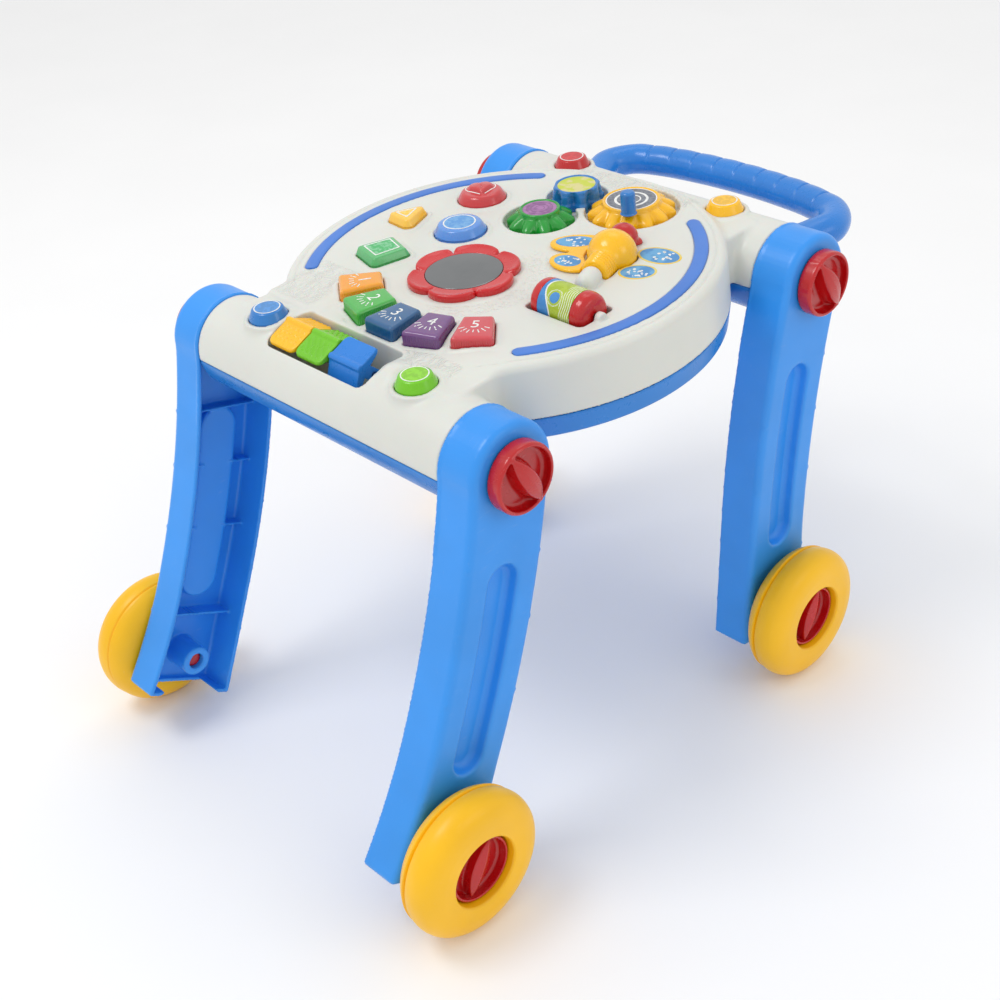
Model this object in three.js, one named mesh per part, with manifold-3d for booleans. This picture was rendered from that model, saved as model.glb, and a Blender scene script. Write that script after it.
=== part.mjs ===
// Two-in-one baby walker and activity table.
// Units are millimetres, +Z up. +X runs along the barrels, +Y from the flip-key barrel to the handle barrel.
// The play body is built in its own frame (origin midway between the two barrel axes) and then
// tipped and lifted into the standing frame; legs, wheels and knobs are built in the standing frame.
import * as THREE from 'three';
import { mergeVertices } from 'three/addons/utils/BufferGeometryUtils.js';
import Module from 'manifold-3d';

const wasm = await Module();
wasm.setup();

// ---------- driving dimensions
const TILT_DEG = 2.9;          // play body leans: handle side higher
const BODY_Z = 357.4;          // height of the body frame above the floor
const BARREL_Y = 175.7;        // barrel axes at +-y
const BARREL_R = 38.5;
const BARREL_HALF = 146.6;     // half length of a barrel
const WALL = 2.6;
const SEAM_Z = -2.0;           // white and blue shells meet here
const GAP = 0.3;
const DISC_R = 184;
const DISC_TOP_R = 177;
const DISC_Z = 44;
const DISC_BOTTOM_Z = -21;
const BRIDGE_X = 126;
const BRIDGE_Z = 39;
const LEG_IN = 147.0;          // open side of a leg
const LEG_OUT = 184.0;         // outer face of a leg
const LEG_WALL = 3.0;
const HEAD_R = 39.4;
const LEG_HALF_W = 38.2;
const HUB_BOSS_R = 13.5;
const KNOB_R = 27.5, KNOB_DISC = 9.8, KNOB_TOP = 204.5;
const SHAFT_R = 8.0;
const WHEEL_R = 61.3, WHEEL_IN = 185.2, WHEEL_OUT = 229.0, WHEEL_RECESS_R = 29.4;
const AXLE_R = 6.8;
const HUB_FRONT_OUT = 97.9, HUB_REAR_OUT = -36.9;   // wheel centre outward from the barrel axis above it
const BUTTON_X = 89, BUTTON_Y = 176;
const GEAR_GREEN = [-25.5, 70], GEAR_BLUE = [-29.5, 120.2], GEAR_YELLOW = [29, 126];
const GEAR_M = 5.6, N_GREEN = 10, N_BLUE = 8, N_YELLOW = 13;
const POCKET_FLOOR = 37;
const FAN = [12, -17], KEY_STEP_DEG = 18.5, KEY_R0 = 93.5, KEY_R1 = 129.5;
const KEY_W0 = 24.5, KEY_W1 = 34;
const MIRROR_C = [0, -43.5], MIRROR_R = 31.5;
const DRUM_C = [105.6, -32.9, 45], DRUM_R = 17, DRUM_HALF = 28.5;
const FLY_C = [76.5, 49, 47], FLY_DEG = 109.3, FLY_R = 20.5;
const PAD_Y = -172.5, PAD_Z = 26.5;
const POCKET_X0 = -69, POCKET_X1 = 50, POCKET_Y0 = -197.5, POCKET_Y1 = -151;

const D = Math.PI / 180;
const FACETS = 0.5;            // facet density of every round surface
const seg = (n) => Math.max(10, 2 * Math.round((n * FACETS) / 2));

// ---------- colours
const C = {
  white: [0.86, 0.86, 0.82], blue: [0.10, 0.33, 0.84], red: [0.72, 0.05, 0.05], yellow: [0.97, 0.62, 0.03],
  green: [0.08, 0.55, 0.12], lime: [0.42, 0.78, 0.08], strip: [0.16, 0.30, 0.78], grey: [0.45, 0.46, 0.47],
  orange: [0.96, 0.50, 0.05], teal: [0.02, 0.18, 0.38], purple: [0.25, 0.08, 0.36], steel: [0.62, 0.63, 0.65],
  board: [0.05, 0.30, 0.14], black: [0.04, 0.04, 0.045],
};

// ---------- helpers
function manifoldOf(geo) {
  const g = geo.clone();
  g.deleteAttribute('normal'); g.deleteAttribute('uv');
  let m = g.index ? g : g;
  m = mergeVertices(m, 1e-4);
  const mesh = new wasm.Mesh({ numProp: 3, vertProperties: new Float32Array(m.attributes.position.array), triVerts: new Uint32Array(m.index.array) });
  const out = new wasm.Manifold(mesh);
  if (!(out.volume() > 0)) throw new Error('a profile is turned inside out');
  return out;
}
function M(geo, mat) { const g = geo.clone(); if (mat) g.applyMatrix4(mat); return manifoldOf(g); }
const T = (x, y, z) => new THREE.Matrix4().makeTranslation(x, y, z);
const RX = (a) => new THREE.Matrix4().makeRotationX(a);
const RY = (a) => new THREE.Matrix4().makeRotationY(a);
const RZ = (a) => new THREE.Matrix4().makeRotationZ(a);
const mul = (...m) => m.reduce((a, b) => a.clone().multiply(b));
const cyl = (r0, r1, h, n = 32) => new THREE.CylinderGeometry(r1, r0, h, seg(n));      // axis Y, r0 at -h/2
const cylZ = (x, y, z0, z1, r0, r1 = r0, n = 32) => M(cyl(r0, r1, z1 - z0, n), mul(T(x, y, (z0 + z1) / 2), RX(Math.PI / 2)));
const cylX = (x0, x1, y, z, r, n = 32, r1 = r) => M(cyl(r, r1, x1 - x0, n), mul(T((x0 + x1) / 2, y, z), RZ(-Math.PI / 2)));
const cylY = (y0, y1, x, z, r, n = 24) => M(cyl(r, r, y1 - y0, n), T(x, (y0 + y1) / 2, z));
const box = (x0, x1, y0, y1, z0, z1) => M(new THREE.BoxGeometry(x1 - x0, y1 - y0, z1 - z0), T((x0 + x1) / 2, (y0 + y1) / 2, (z0 + z1) / 2));
// closed profile turned about Z: points are [r, z]
const lathe = (pts, n) => new THREE.LatheGeometry(pts.map((p) => new THREE.Vector2(p[0], p[1])), seg(n)).applyMatrix4(RX(Math.PI / 2));
function shapeOf(pts) { const s = new THREE.Shape(); pts.forEach((p, i) => (i ? s.lineTo(p[0], p[1]) : s.moveTo(p[0], p[1]))); s.closePath(); return s; }
// outline in XY extruded from z0 to z1, with an optional rounded rim at the top
function slab(pts, z0, z1, bevel = 0, steps = 2, inset = bevel) {
  if (!bevel) return M(new THREE.ExtrudeGeometry(shapeOf(pts), { depth: z1 - z0, bevelEnabled: false, curveSegments: 1 }), T(0, 0, z0));
  const g = new THREE.ExtrudeGeometry(shapeOf(pts), { depth: z1 - z0 - bevel + 40, bevelEnabled: true, bevelThickness: bevel, bevelSize: inset, bevelOffset: -inset, bevelSegments: steps, curveSegments: 1 });
  const m = M(g, T(0, 0, z0 - 40));
  const cut = M(new THREE.BoxGeometry(2000, 2000, 200), T(0, 0, z0 - 100));
  return m.subtract(cut);
}
function rounded(pts, r, n = 3) {      // round the corners of a convex polygon (counter-clockwise)
  const out = [];
  const k = pts.length;
  for (let i = 0; i < k; i++) {
    const p = pts[i], a = pts[(i + k - 1) % k], b = pts[(i + 1) % k];
    const u = new THREE.Vector2(a[0] - p[0], a[1] - p[1]).normalize(), v = new THREE.Vector2(b[0] - p[0], b[1] - p[1]).normalize();
    const half = Math.acos(Math.max(-1, Math.min(1, u.dot(v)))) / 2;
    const t = r / Math.tan(half);
    const w = u.clone().add(v).normalize().multiplyScalar(r / Math.sin(half));
    const c = [p[0] + w.x, p[1] + w.y];
    const s = [p[0] + u.x * t, p[1] + u.y * t], e = [p[0] + v.x * t, p[1] + v.y * t];
    let a0 = Math.atan2(s[1] - c[1], s[0] - c[0]), a1 = Math.atan2(e[1] - c[1], e[0] - c[0]);
    let da = a1 - a0; while (da <= -Math.PI) da += 2 * Math.PI; while (da > Math.PI) da -= 2 * Math.PI;
    for (let j = 0; j <= n; j++) { const q = a0 + (da * j) / n; out.push([c[0] + r * Math.cos(q), c[1] + r * Math.sin(q)]); }
  }
  return out;
}
function grow(pts, d) {               // offset an outline outwards (counter-clockwise, mild corners)
  const k = pts.length, out = [];
  for (let i = 0; i < k; i++) {
    const a = pts[(i + k - 1) % k], p = pts[i], b = pts[(i + 1) % k];
    const n1 = new THREE.Vector2(p[1] - a[1], a[0] - p[0]).normalize(), n2 = new THREE.Vector2(b[1] - p[1], p[0] - b[0]).normalize();
    const n = n1.clone().add(n2); const l = n.length() || 1; n.divideScalar(l);
    const s = d / Math.max(0.5, n.dot(n1));
    out.push([p[0] + n.x * s, p[1] + n.y * s]);
  }
  return out;
}
const ring = (cx, cy, r, n, ph = 0) => Array.from({ length: n }, (_, i) => [cx + r * Math.cos(ph + (i * 2 * Math.PI) / n), cy + r * Math.sin(ph + (i * 2 * Math.PI) / n)]);
const addAll = (list) => list.reduce((a, b) => a.add(b));
const moveM = (m, mat) => m.transform(Array.from(mat.elements));

const group = new THREE.Group();
group.name = 'baby_walker';
function put(name, man, colour, rough = 0.35, metal = 0, body = true) {
  let m = man;
  if (body) m = moveM(man, BODY);
  const g = m.getMesh();
  const geo = new THREE.BufferGeometry();
  geo.setAttribute('position', new THREE.BufferAttribute(new Float32Array(g.vertProperties), 3));
  geo.setIndex(new THREE.BufferAttribute(new Uint32Array(g.triVerts), 1));
  geo.computeVertexNormals();
  geo.translate(0, SHIFT_Y, 0);
  const mesh = new THREE.Mesh(geo, new THREE.MeshStandardMaterial({ color: new THREE.Color(...colour), roughness: rough, metalness: metal }));
  mesh.name = name;
  group.add(mesh);
}
const BODY = mul(T(0, 0, BODY_Z), RX(TILT_DEG * D));
const SHIFT_Y = 5.015;                 // puts the origin under the middle of the whole walker
// standing-frame centres of the two barrel axes
const at = (y, z) => { const c = Math.cos(TILT_DEG * D), s = Math.sin(TILT_DEG * D); return [y * c - z * s, BODY_Z + y * s + z * c]; };
const AXN = at(-BARREL_Y, 0), AXF = at(BARREL_Y, 0);
const HUB_FRONT = [HUB_FRONT_OUT, AXN[1] - WHEEL_R], HUB_REAR = [HUB_REAR_OUT, AXF[1] - WHEEL_R];

// ---------- white top shell
const barrel = (y, r, hx, n) => cylX(-hx, hx, y, 0, r, n);
const keep = (z0, z1) => box(-400, 400, -400, 400, z0, z1);
const discOuter = M(lathe([[0, SEAM_Z], [DISC_R, SEAM_Z], [182.6, 30], [180, 40], [DISC_TOP_R, DISC_Z], [0, DISC_Z]], 72));
const discInner = M(lathe([[0, SEAM_Z - 5], [DISC_R - WALL, SEAM_Z - 5], [179.4, 30], [175, DISC_Z - WALL], [0, DISC_Z - WALL]], 48));
const upper = keep(SEAM_Z, 200);
let outer = discOuter
  .add(addAll([-BARREL_Y, BARREL_Y].map((y) => barrel(y, BARREL_R, BARREL_HALF, 40).intersect(upper))))
  .add(addAll([-1, 1].map((s) => box(-BRIDGE_X, BRIDGE_X, Math.min(s * 100, s * BARREL_Y), Math.max(s * 100, s * BARREL_Y), SEAM_Z, BRIDGE_Z))));
let inner = discInner
  .add(addAll([-BARREL_Y, BARREL_Y].map((y) => barrel(y, BARREL_R - WALL, BARREL_HALF - WALL, 28))))
  .add(addAll([-1, 1].map((s) => box(-BRIDGE_X + WALL, BRIDGE_X - WALL, Math.min(s * 95, s * BARREL_Y), Math.max(s * 95, s * BARREL_Y), SEAM_Z - 5, BRIDGE_Z - WALL))));
let top = outer.subtract(inner);
// cups under the play pockets
const gearR = (N) => (GEAR_M * N) / 2;
const gearPocket = (extra, z0, z1, n) => addAll([[GEAR_GREEN, 32.2], [GEAR_BLUE, 26.8], [GEAR_YELLOW, 40.8]].map(([c, r]) => cylZ(c[0], c[1], z0, z1, r + extra, r + extra, n)));
top = top.add(gearPocket(2.2, POCKET_FLOOR - 2.2, 43, 32)).subtract(gearPocket(0, POCKET_FLOOR, 60, 40));
top = top.add(addAll([GEAR_GREEN, GEAR_BLUE, GEAR_YELLOW].map((c) => cylZ(c[0], c[1], POCKET_FLOOR - 1, 45, 4.5, 4.5, 20))));
// roller trough
const [dx, dy, dz] = DRUM_C;
const trough = (e, z0, z1) => slab(rounded([[dx - DRUM_HALF - 2 - e, dy - 18.8 - e], [dx + DRUM_HALF + 2 + e, dy - 18.8 - e], [dx + DRUM_HALF + 2 + e, dy + 18.8 + e], [dx - DRUM_HALF - 2 - e, dy + 18.8 + e]], 4 + e, 3), z0, z1);
top = top.add(trough(2.2, 23.6, 43)).subtract(trough(0, 25.8, 60));
for (const s of [-1, 1]) {
  const x0 = dx + s * (DRUM_HALF + 2.0);
  const ear = cylX(Math.min(x0, x0 + s * 6), Math.max(x0, x0 + s * 6), dy, dz, 7, 20).add(box(Math.min(x0, x0 + s * 6), Math.max(x0, x0 + s * 6), dy - 7, dy + 7, 43, dz));
  top = top.add(ear);
}
top = top.subtract(cylX(dx - DRUM_HALF - 6, dx + DRUM_HALF + 6, dy, dz, 2.4, 16));
// flip-key pocket
const pkt = (e, z0, z1) => slab(rounded([[POCKET_X0 - e, POCKET_Y0 - e], [POCKET_X1 + e, POCKET_Y0 - e], [POCKET_X1 + e, POCKET_Y1 + e], [POCKET_X0 - e, POCKET_Y1 + e]], 3 + e, 2), z0, z1);
top = top.add(pkt(2.2, -1.8, 60).intersect(outer)).subtract(pkt(0, 0.4, 80));
top = top.subtract(cylX(POCKET_X0 - 3.2, POCKET_X1 + 3.2, PAD_Y, PAD_Z, 2.4, 16));
// butterfly trough and tail bearing
const flyAxis = mul(T(...FLY_C), RZ(FLY_DEG * D), RY(Math.PI / 2));   // local z runs towards the head
const flyProfile = (e) => [[0, 19.5 + e], [7 + e, 19.5 + e], [15.2 + e, 13.8], [19.4 + e, 6.8], [FLY_R + e, 0], [19 + e, -8.5], [15.4 + e, -14.2], [12.2 + e, -18.5], [11.6 + e, -30], [10.4 + e, -36 - e], [0, -36 - e]];
const flyGeo = (e, n) => { const g = new THREE.LatheGeometry(flyProfile(e).reverse().map((p) => new THREE.Vector2(p[0], p[1])), seg(n)); g.applyMatrix4(RX(Math.PI / 2)); return g; };
const fly = (e, n) => M(flyGeo(e, n), flyAxis);
top = top.add(fly(3.2, 24).intersect(keep(20, 43.5))).subtract(fly(1.0, 28));
const flyPt = (s, z = 0) => { const v = new THREE.Vector3(z, 0, s).applyMatrix4(flyAxis); return [v.x, v.y, v.z]; };
const tailBoss = M(new THREE.CylinderGeometry(8.6, 9.6, 15, 12), mul(flyAxis, T(0, 0, -45.5), RX(-Math.PI / 2)));
const tailTip = M(new THREE.SphereGeometry(8.6, 12, 8), mul(flyAxis, T(0, 0, -52)));
top = top.add(tailBoss.add(tailTip).intersect(keep(42.5, 80)));
top = top.subtract(M(cyl(2.2, 2.2, 96, 16), mul(flyAxis, T(0, 0, -4), RX(-Math.PI / 2))).intersect(keep(30, 80)));
// button collars and holes
const corners = [[-1, -1], [1, -1], [1, 1], [-1, 1]];
for (const [sx, sy] of corners) top = top.add(cylZ(sx * BUTTON_X, sy * BUTTON_Y, 30, 39.6, 19.4, 18.6, 28));
for (const [sx, sy] of corners) top = top.subtract(cylZ(sx * BUTTON_X, sy * BUTTON_Y, 20, 60, 16.4, 16.4, 28));
const triPts = rounded([[-138.5, -10.5], [-101.5, -13.5], [-117.5, 28.5]], 6, 3);
const sqPts = rounded([[-108.5, -69.5], [-72.5, -79], [-63.8, -44.5], [-95.5, -34.5]], 5, 3);
const roundC = [-63.5, 11.5], heartC = [-98, 70];
const heartPts = ring(heartC[0], heartC[1], 21.5, 20);
const roundPts = ring(roundC[0], roundC[1], 22.5, 20);
const holeFor = (pts) => slab(grow(pts, 0.4), 30, 60);
for (const p of [triPts, sqPts, roundPts, heartPts]) top = top.subtract(holeFor(p));
const keyOutline = (i, e = 0) => {
  const a = (-90 + (i - 2) * KEY_STEP_DEG) * D;
  const u = [Math.cos(a), Math.sin(a)], v = [-u[1], u[0]];
  const P = (r, w) => [FAN[0] + u[0] * r + v[0] * w, FAN[1] + u[1] * r + v[1] * w];
  return rounded([P(KEY_R0 - e, -KEY_W0 / 2 - e), P(KEY_R1 + e, -KEY_W1 / 2 - e), P(KEY_R1 + e, KEY_W1 / 2 + e), P(KEY_R0 - e, KEY_W0 / 2 + e)], 3 + Math.max(0, e), 2);
};
for (let i = 0; i < 5; i++) top = top.subtract(slab(keyOutline(i, 0.4), 30, 60));
// grooves for the rim strips
const arcPts = (r0, r1, a0, a1, n = 12) => {
  const o = [], rm = (r0 + r1) / 2, w = (r1 - r0) / 2;
  for (let i = 0; i <= n; i++) { const a = (a0 + ((a1 - a0) * i) / n) * D; o.push([r1 * Math.cos(a), r1 * Math.sin(a)]); }
  for (let j = 1; j < 4; j++) { const q = (a1 * D) + (Math.PI * j) / 4; o.push([rm * Math.cos(a1 * D) + w * Math.cos(q), rm * Math.sin(a1 * D) + w * Math.sin(q)]); }
  for (let i = n; i >= 0; i--) { const a = (a0 + ((a1 - a0) * i) / n) * D; o.push([r0 * Math.cos(a), r0 * Math.sin(a)]); }
  for (let j = 1; j < 4; j++) { const q = (a0 * D) + Math.PI + (Math.PI * j) / 4; o.push([rm * Math.cos(a0 * D) + w * Math.cos(q), rm * Math.sin(a0 * D) + w * Math.sin(q)]); }
  return o;
};
const strips = [['rim_strip_right', -40, 56], ['rim_strip_left', 124, 220]];
for (const [, a0, a1] of strips) top = top.subtract(slab(arcPts(155.4, 167.4, a0, a1), 42.7, 60));
// knob shaft and handle sockets, shared by both shells
const sockets = (m) => {
  for (const y of [-BARREL_Y, BARREL_Y]) m = m.subtract(cylX(-160, 160, y, 0, SHAFT_R + 0.7, 20));
  for (const x of [-116, 116]) m = m.subtract(cylY(BARREL_Y + 12, BARREL_Y + 60, x, -3, 16.6, 28));
  return m;
};
top = sockets(top);
put('top_shell', top, C.white, 0.42);

// ---------- blue bottom shell
const lower = keep(-200, SEAM_Z - GAP);
let bo = M(lathe([[0, DISC_BOTTOM_Z], [181, DISC_BOTTOM_Z], [183.4, DISC_BOTTOM_Z + 3], [DISC_R, SEAM_Z - GAP], [0, SEAM_Z - GAP]], 72))
  .add(addAll([-BARREL_Y, BARREL_Y].map((y) => barrel(y, BARREL_R, BARREL_HALF, 40).intersect(lower))));
let bi = M(lathe([[0, DISC_BOTTOM_Z + WALL], [179, DISC_BOTTOM_Z + WALL], [DISC_R - WALL, SEAM_Z + 5], [0, SEAM_Z + 5]], 48))
  .add(addAll([-BARREL_Y, BARREL_Y].map((y) => barrel(y, BARREL_R - WALL, BARREL_HALF - WALL, 28))));
let bottom = bo.subtract(bi);
// battery bay, opening downwards
bottom = bottom.add(box(-37, 37, -34, 34, DISC_BOTTOM_Z + 1, 2.2)).subtract(box(-34.8, 34.8, -31.8, 31.8, DISC_BOTTOM_Z - 5, 0));
bottom = bottom.subtract(box(-39, 39, -36, 36, DISC_BOTTOM_Z - 5, DISC_BOTTOM_Z + 1.4));
bottom = bottom.add(cylZ(0, 41, DISC_BOTTOM_Z + 1, -10, 4, 4, 16)).subtract(cylZ(0, 41, DISC_BOTTOM_Z - 5, -12, 1.7, 1.7, 12));
// speaker grille slots
for (const k of [-2, -1, 0, 1, 2]) bottom = bottom.subtract(box(-90 - Math.sqrt(22 * 22 - k * k * 64), -90 + Math.sqrt(22 * 22 - k * k * 64), k * 8 - 1.6, k * 8 + 1.6, -30, -17));
// board posts
for (const [x, y] of [[-125, 20], [-50, 100], [55, -100], [60, 60]]) bottom = bottom.add(cylZ(x, y, DISC_BOTTOM_Z + 1, 5.6, 3.5, 3, 14));
bottom = sockets(bottom);
put('bottom_shell', bottom, C.blue, 0.38);

// ---------- handle: one bent tube, a grip across the back and two arms
const armZ = -3;
const hc = new THREE.CatmullRomCurve3([[-116, 190], [-116, 206], [-117.5, 224], [-126, 248], [-131, 268], [-118, 291], [-88, 302], [-45, 308], [0, 310], [45, 308], [88, 302], [118, 291], [131, 268], [126, 248], [117.5, 224], [116, 206], [116, 190]].map((p) => new THREE.Vector3(p[0], p[1], armZ)), false, 'centripetal');
const tube = new THREE.ExtrudeGeometry(shapeOf(ring(0, 0, 14.9, 12)), { steps: 22, bevelEnabled: false, extrudePath: hc, curveSegments: 1 });
let handle = M(tube).intersect(box(-300, 300, 192, 400, -60, 60));
put('handle', handle, C.blue, 0.36);

// ---------- legs
function bez(P0, P1, P2, t) { const a = (1 - t) * (1 - t), b = 2 * t * (1 - t), c = t * t; return [a * P0[0] + b * P1[0] + c * P2[0], a * P0[1] + b * P1[1] + c * P2[1]]; }
const LEG_FRONT = { P: [[0, 0], [24, 155], [113.5, 314]], out: -1 };
const LEG_REAR = { P: [[0, 0], [-44, 150], [-37, 333]], out: 1 };
// outline points are [outward, down]
function legOutline(L, inset, n = 8) {
  const w = (t) => LEG_HALF_W + 5.2 * Math.pow(Math.max(0, (t - 0.72) / 0.28), 1.6) - inset;
  const left = [], right = [];
  for (let i = 1; i <= n; i++) {
    const t = i / n, p = bez(...L.P, t), q = bez(...L.P, Math.min(1, t + 0.01)), o = bez(...L.P, Math.max(0, t - 0.01));
    const d = new THREE.Vector2(q[0] - o[0], q[1] - o[1]).normalize();
    const k = i === n ? inset : 0;
    const c = [p[0] - d.x * k, p[1] - d.y * k];
    left.push([c[0] + d.y * w(t), c[1] - d.x * w(t)]); right.push([c[0] - d.y * w(t), c[1] + d.x * w(t)]);
  }
  const p1 = left[0], p2 = right[0];
  const r = HEAD_R - inset;
  const a0 = Math.atan2(p1[1], p1[0]), a1 = Math.atan2(p2[1], p2[0]);
  // head arc runs from the right side over the top to the left side
  const arc = [];
  const b0 = Math.atan2(right[0][1], right[0][0]) , b1 = Math.atan2(left[0][1], left[0][0]);
  let s = b0 + 0.25, e = b1 - 0.25; while (e < s) e += 2 * Math.PI;
  for (let i = 0; i <= 9; i++) { const a = s + ((e - s) * i) / 9; arc.push([r * Math.cos(a), r * Math.sin(a)]); }
  return [...arc, ...left, ...right.reverse()];
}
// concave arch cut under the foot
function legSolid(L, s, hub, ax) {
  // local extrusion: x' = outward*out (world y), y' = -down (world z), depth -> world x
  const map = (p) => [p[0] * L.out, -p[1]];
  const fix = (pts) => { const q = pts.map(map); let A = 0; for (let i = 0; i < q.length; i++) { const a = q[i], b = q[(i + 1) % q.length]; A += a[0] * b[1] - b[0] * a[1]; } return A < 0 ? q.reverse() : q; };
  const bodyS = slab(fix(legOutline(L, 0)), LEG_IN, LEG_OUT, 6.5, 2, 6.0);
  const cav = slab(fix(legOutline(L, LEG_WALL + 4)), LEG_IN - 2, LEG_OUT - LEG_WALL);
  let m = bodyS.subtract(cav);
  const h = map(hub);
  const z = (x, y, z0, z1, r, n = 24) => cylZ(x, y, z0, z1, r, r, n);
  // slot: a groove sunk into the outer face, closed behind by its own floor
  const mid = [0.3, 0.49, 0.68].map((t) => map(bez(...L.P, t)));
  const groove = (e, z0, z1) => addAll(mid.slice(0, -1).map((p, i) => { const q = mid[i + 1]; const dxy = [q[0] - p[0], q[1] - p[1]]; const l = Math.hypot(...dxy), u = [dxy[0] / l, dxy[1] / l], v = [-u[1], u[0]]; const W = 13 + e; return slab([[p[0] - v[0] * W, p[1] - v[1] * W], [q[0] - v[0] * W, q[1] - v[1] * W], [q[0] + v[0] * W, q[1] + v[1] * W], [p[0] + v[0] * W, p[1] + v[1] * W]].reverse(), z0, z1).add(z(p[0], p[1], z0, z1, W, 20)).add(z(q[0], q[1], z0, z1, W, 20)); }));
  m = m.add(groove(2.4, LEG_OUT - 12.4, LEG_OUT - 1)).subtract(groove(0, LEG_OUT - 10, LEG_OUT + 5));
  // hub boss and its bore, head boss and its bore
  m = m.add(z(h[0], h[1], LEG_IN + 4, LEG_OUT - 1, HUB_BOSS_R, 24)).subtract(z(h[0], h[1], LEG_IN - 5, LEG_OUT + 5, AXLE_R + 0.45, 24));
  m = m.add(z(0, 0, LEG_IN + 1.5, LEG_OUT - 1, 13, 24)).subtract(z(0, 0, LEG_IN - 5, LEG_OUT + 5, SHAFT_R + 0.4, 24));
  // two stiffening ribs either side of the hub
  const T1 = bez(...L.P, 0.80), T0 = bez(...L.P, 0.76);
  const d = new THREE.Vector2((T1[0] - T0[0]) * L.out, -(T1[1] - T0[1])).normalize();
  const v = [-d.y, d.x], c0 = map(T1);
  const W = 39;
  const rib = slab([[c0[0] - v[0] * W - d.x, c0[1] - v[1] * W - d.y], [c0[0] + v[0] * W - d.x, c0[1] + v[1] * W - d.y], [c0[0] + v[0] * W + d.x, c0[1] + v[1] * W + d.y], [c0[0] - v[0] * W + d.x, c0[1] - v[1] * W + d.y]].reverse(), LEG_OUT - 14, LEG_OUT - 1).intersect(slab(fix(legOutline(L, 1)), LEG_IN, LEG_OUT));
  m = m.add(rib.subtract(z(h[0], h[1], 0, 300, HUB_BOSS_R - 1)));
  // arch under the foot
  const E = map(bez(...L.P, 1)), E0 = map(bez(...L.P, 0.97));
  const ed = [E[0] - E0[0], E[1] - E0[1]], el = Math.hypot(...ed);
  m = m.subtract(z(E[0] + (ed[0] / el) * 50, E[1] + (ed[1] / el) * 50, LEG_IN - 5, LEG_OUT - 9, 59.5, 40));
  m = m.intersect(box(-500, 500, -500, 500, LEG_IN, LEG_OUT));
  // turn the extrusion: (a, b, depth) -> world (depth*s, a, b)
  let mat = new THREE.Matrix4().set(0, 0, s, 0, 1, 0, 0, ax[0], 0, 1, 0, ax[1], 0, 0, 0, 1);
  let out = moveM(m, mat);
  return out;
}
const legs = [['front', 'right', LEG_FRONT, 1, HUB_FRONT, AXN], ['front', 'left', LEG_FRONT, -1, HUB_FRONT, AXN], ['rear', 'right', LEG_REAR, 1, HUB_REAR, AXF], ['rear', 'left', LEG_REAR, -1, HUB_REAR, AXF]];
const wheelProfile = [[AXLE_R + 0.5, WHEEL_IN + 1], [16, WHEEL_IN], [40, WHEEL_IN + 1], [51, WHEEL_IN + 5], [58.8, WHEEL_IN + 15.4], [57.4, WHEEL_IN + 17.4], [59, WHEEL_IN + 18.8], [WHEEL_R, WHEEL_IN + 26.5], [57.6, WHEEL_IN + 36.8], [50, WHEEL_OUT - 2], [37, WHEEL_OUT], [WHEEL_RECESS_R, WHEEL_OUT - 3.0], [28.9, WHEEL_OUT - 24], [AXLE_R + 0.5, WHEEL_OUT - 24]];
for (const [fr, side, L, s, hub, ax] of legs) {
  put(`leg_${fr}_${side}`, legSolid(L, s, hub, ax), C.blue, 0.38, 0, false);
  const wy = ax[0] + hub[0] * L.out, wz = ax[1] - hub[1];
  const place = new THREE.Matrix4().set(0, 0, s, 0, s, 0, 0, wy, 0, 1, 0, wz, 0, 0, 0, 1);
  const closed = [...wheelProfile, wheelProfile[0]];
  const wheel = M(lathe(closed, 46));
  put(`wheel_${fr}_${side}`, moveM(wheel, place), C.yellow, 0.4, 0, false);
  // axle bolt with a lens-shaped grip fin in the wheel recess
  const base = WHEEL_OUT - 24 + GAP;
  let ax1 = cylZ(0, 0, base, base + 11, 28.2, 28.2, 36).add(cylZ(0, 0, LEG_IN + 9, base + 1, AXLE_R, AXLE_R, 20));
  const fin = rounded([[-24, -1.2], [-8, -8.2], [8, -8.2], [24, -1.2], [24, 1.2], [8, 8.2], [-8, 8.2], [-24, 1.2]], 1.0, 1);
  ax1 = ax1.add(slab(fin, base + 10, WHEEL_OUT - 1.4, 1.4, 2, 0.7));
  const finTurn = fr === 'front' ? 62 : 68;
  put(`axle_${fr}_${side}`, moveM(moveM(ax1, RZ(finTurn * D)), place), C.red, 0.3, 0, false);
  // leg knob: thick disc, diagonal grip bar, shaft into the barrel
  let kb = cylZ(0, 0, LEG_OUT + GAP, LEG_OUT + 7.8, KNOB_R, KNOB_R, 40).add(cylZ(0, 0, LEG_OUT + 7.8 - 1e-4, LEG_OUT + KNOB_DISC, KNOB_R, KNOB_R - 1.8, 40));
  const bar = rounded([[-25.4, -1.6], [-10, -7.6], [10, -7.6], [25.4, -1.6], [25.4, 1.6], [10, 7.6], [-10, 7.6], [-25.4, 1.6]], 1.2, 1);
  kb = kb.add(slab(bar, LEG_OUT + KNOB_DISC - 1, KNOB_TOP, 1.6, 2, 0.9)).add(cylZ(0, 0, LEG_IN - 18, LEG_OUT + 1, SHAFT_R, SHAFT_R, 20));
  const kplace = new THREE.Matrix4().set(0, 0, s, 0, s, 0, 0, ax[0], 0, 1, 0, ax[1], 0, 0, 0, 1);
  put(`leg_knob_${fr}_${side}`, moveM(moveM(kb, RZ(-60 * D)), kplace), C.red, 0.3, 0, false);
}

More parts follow.
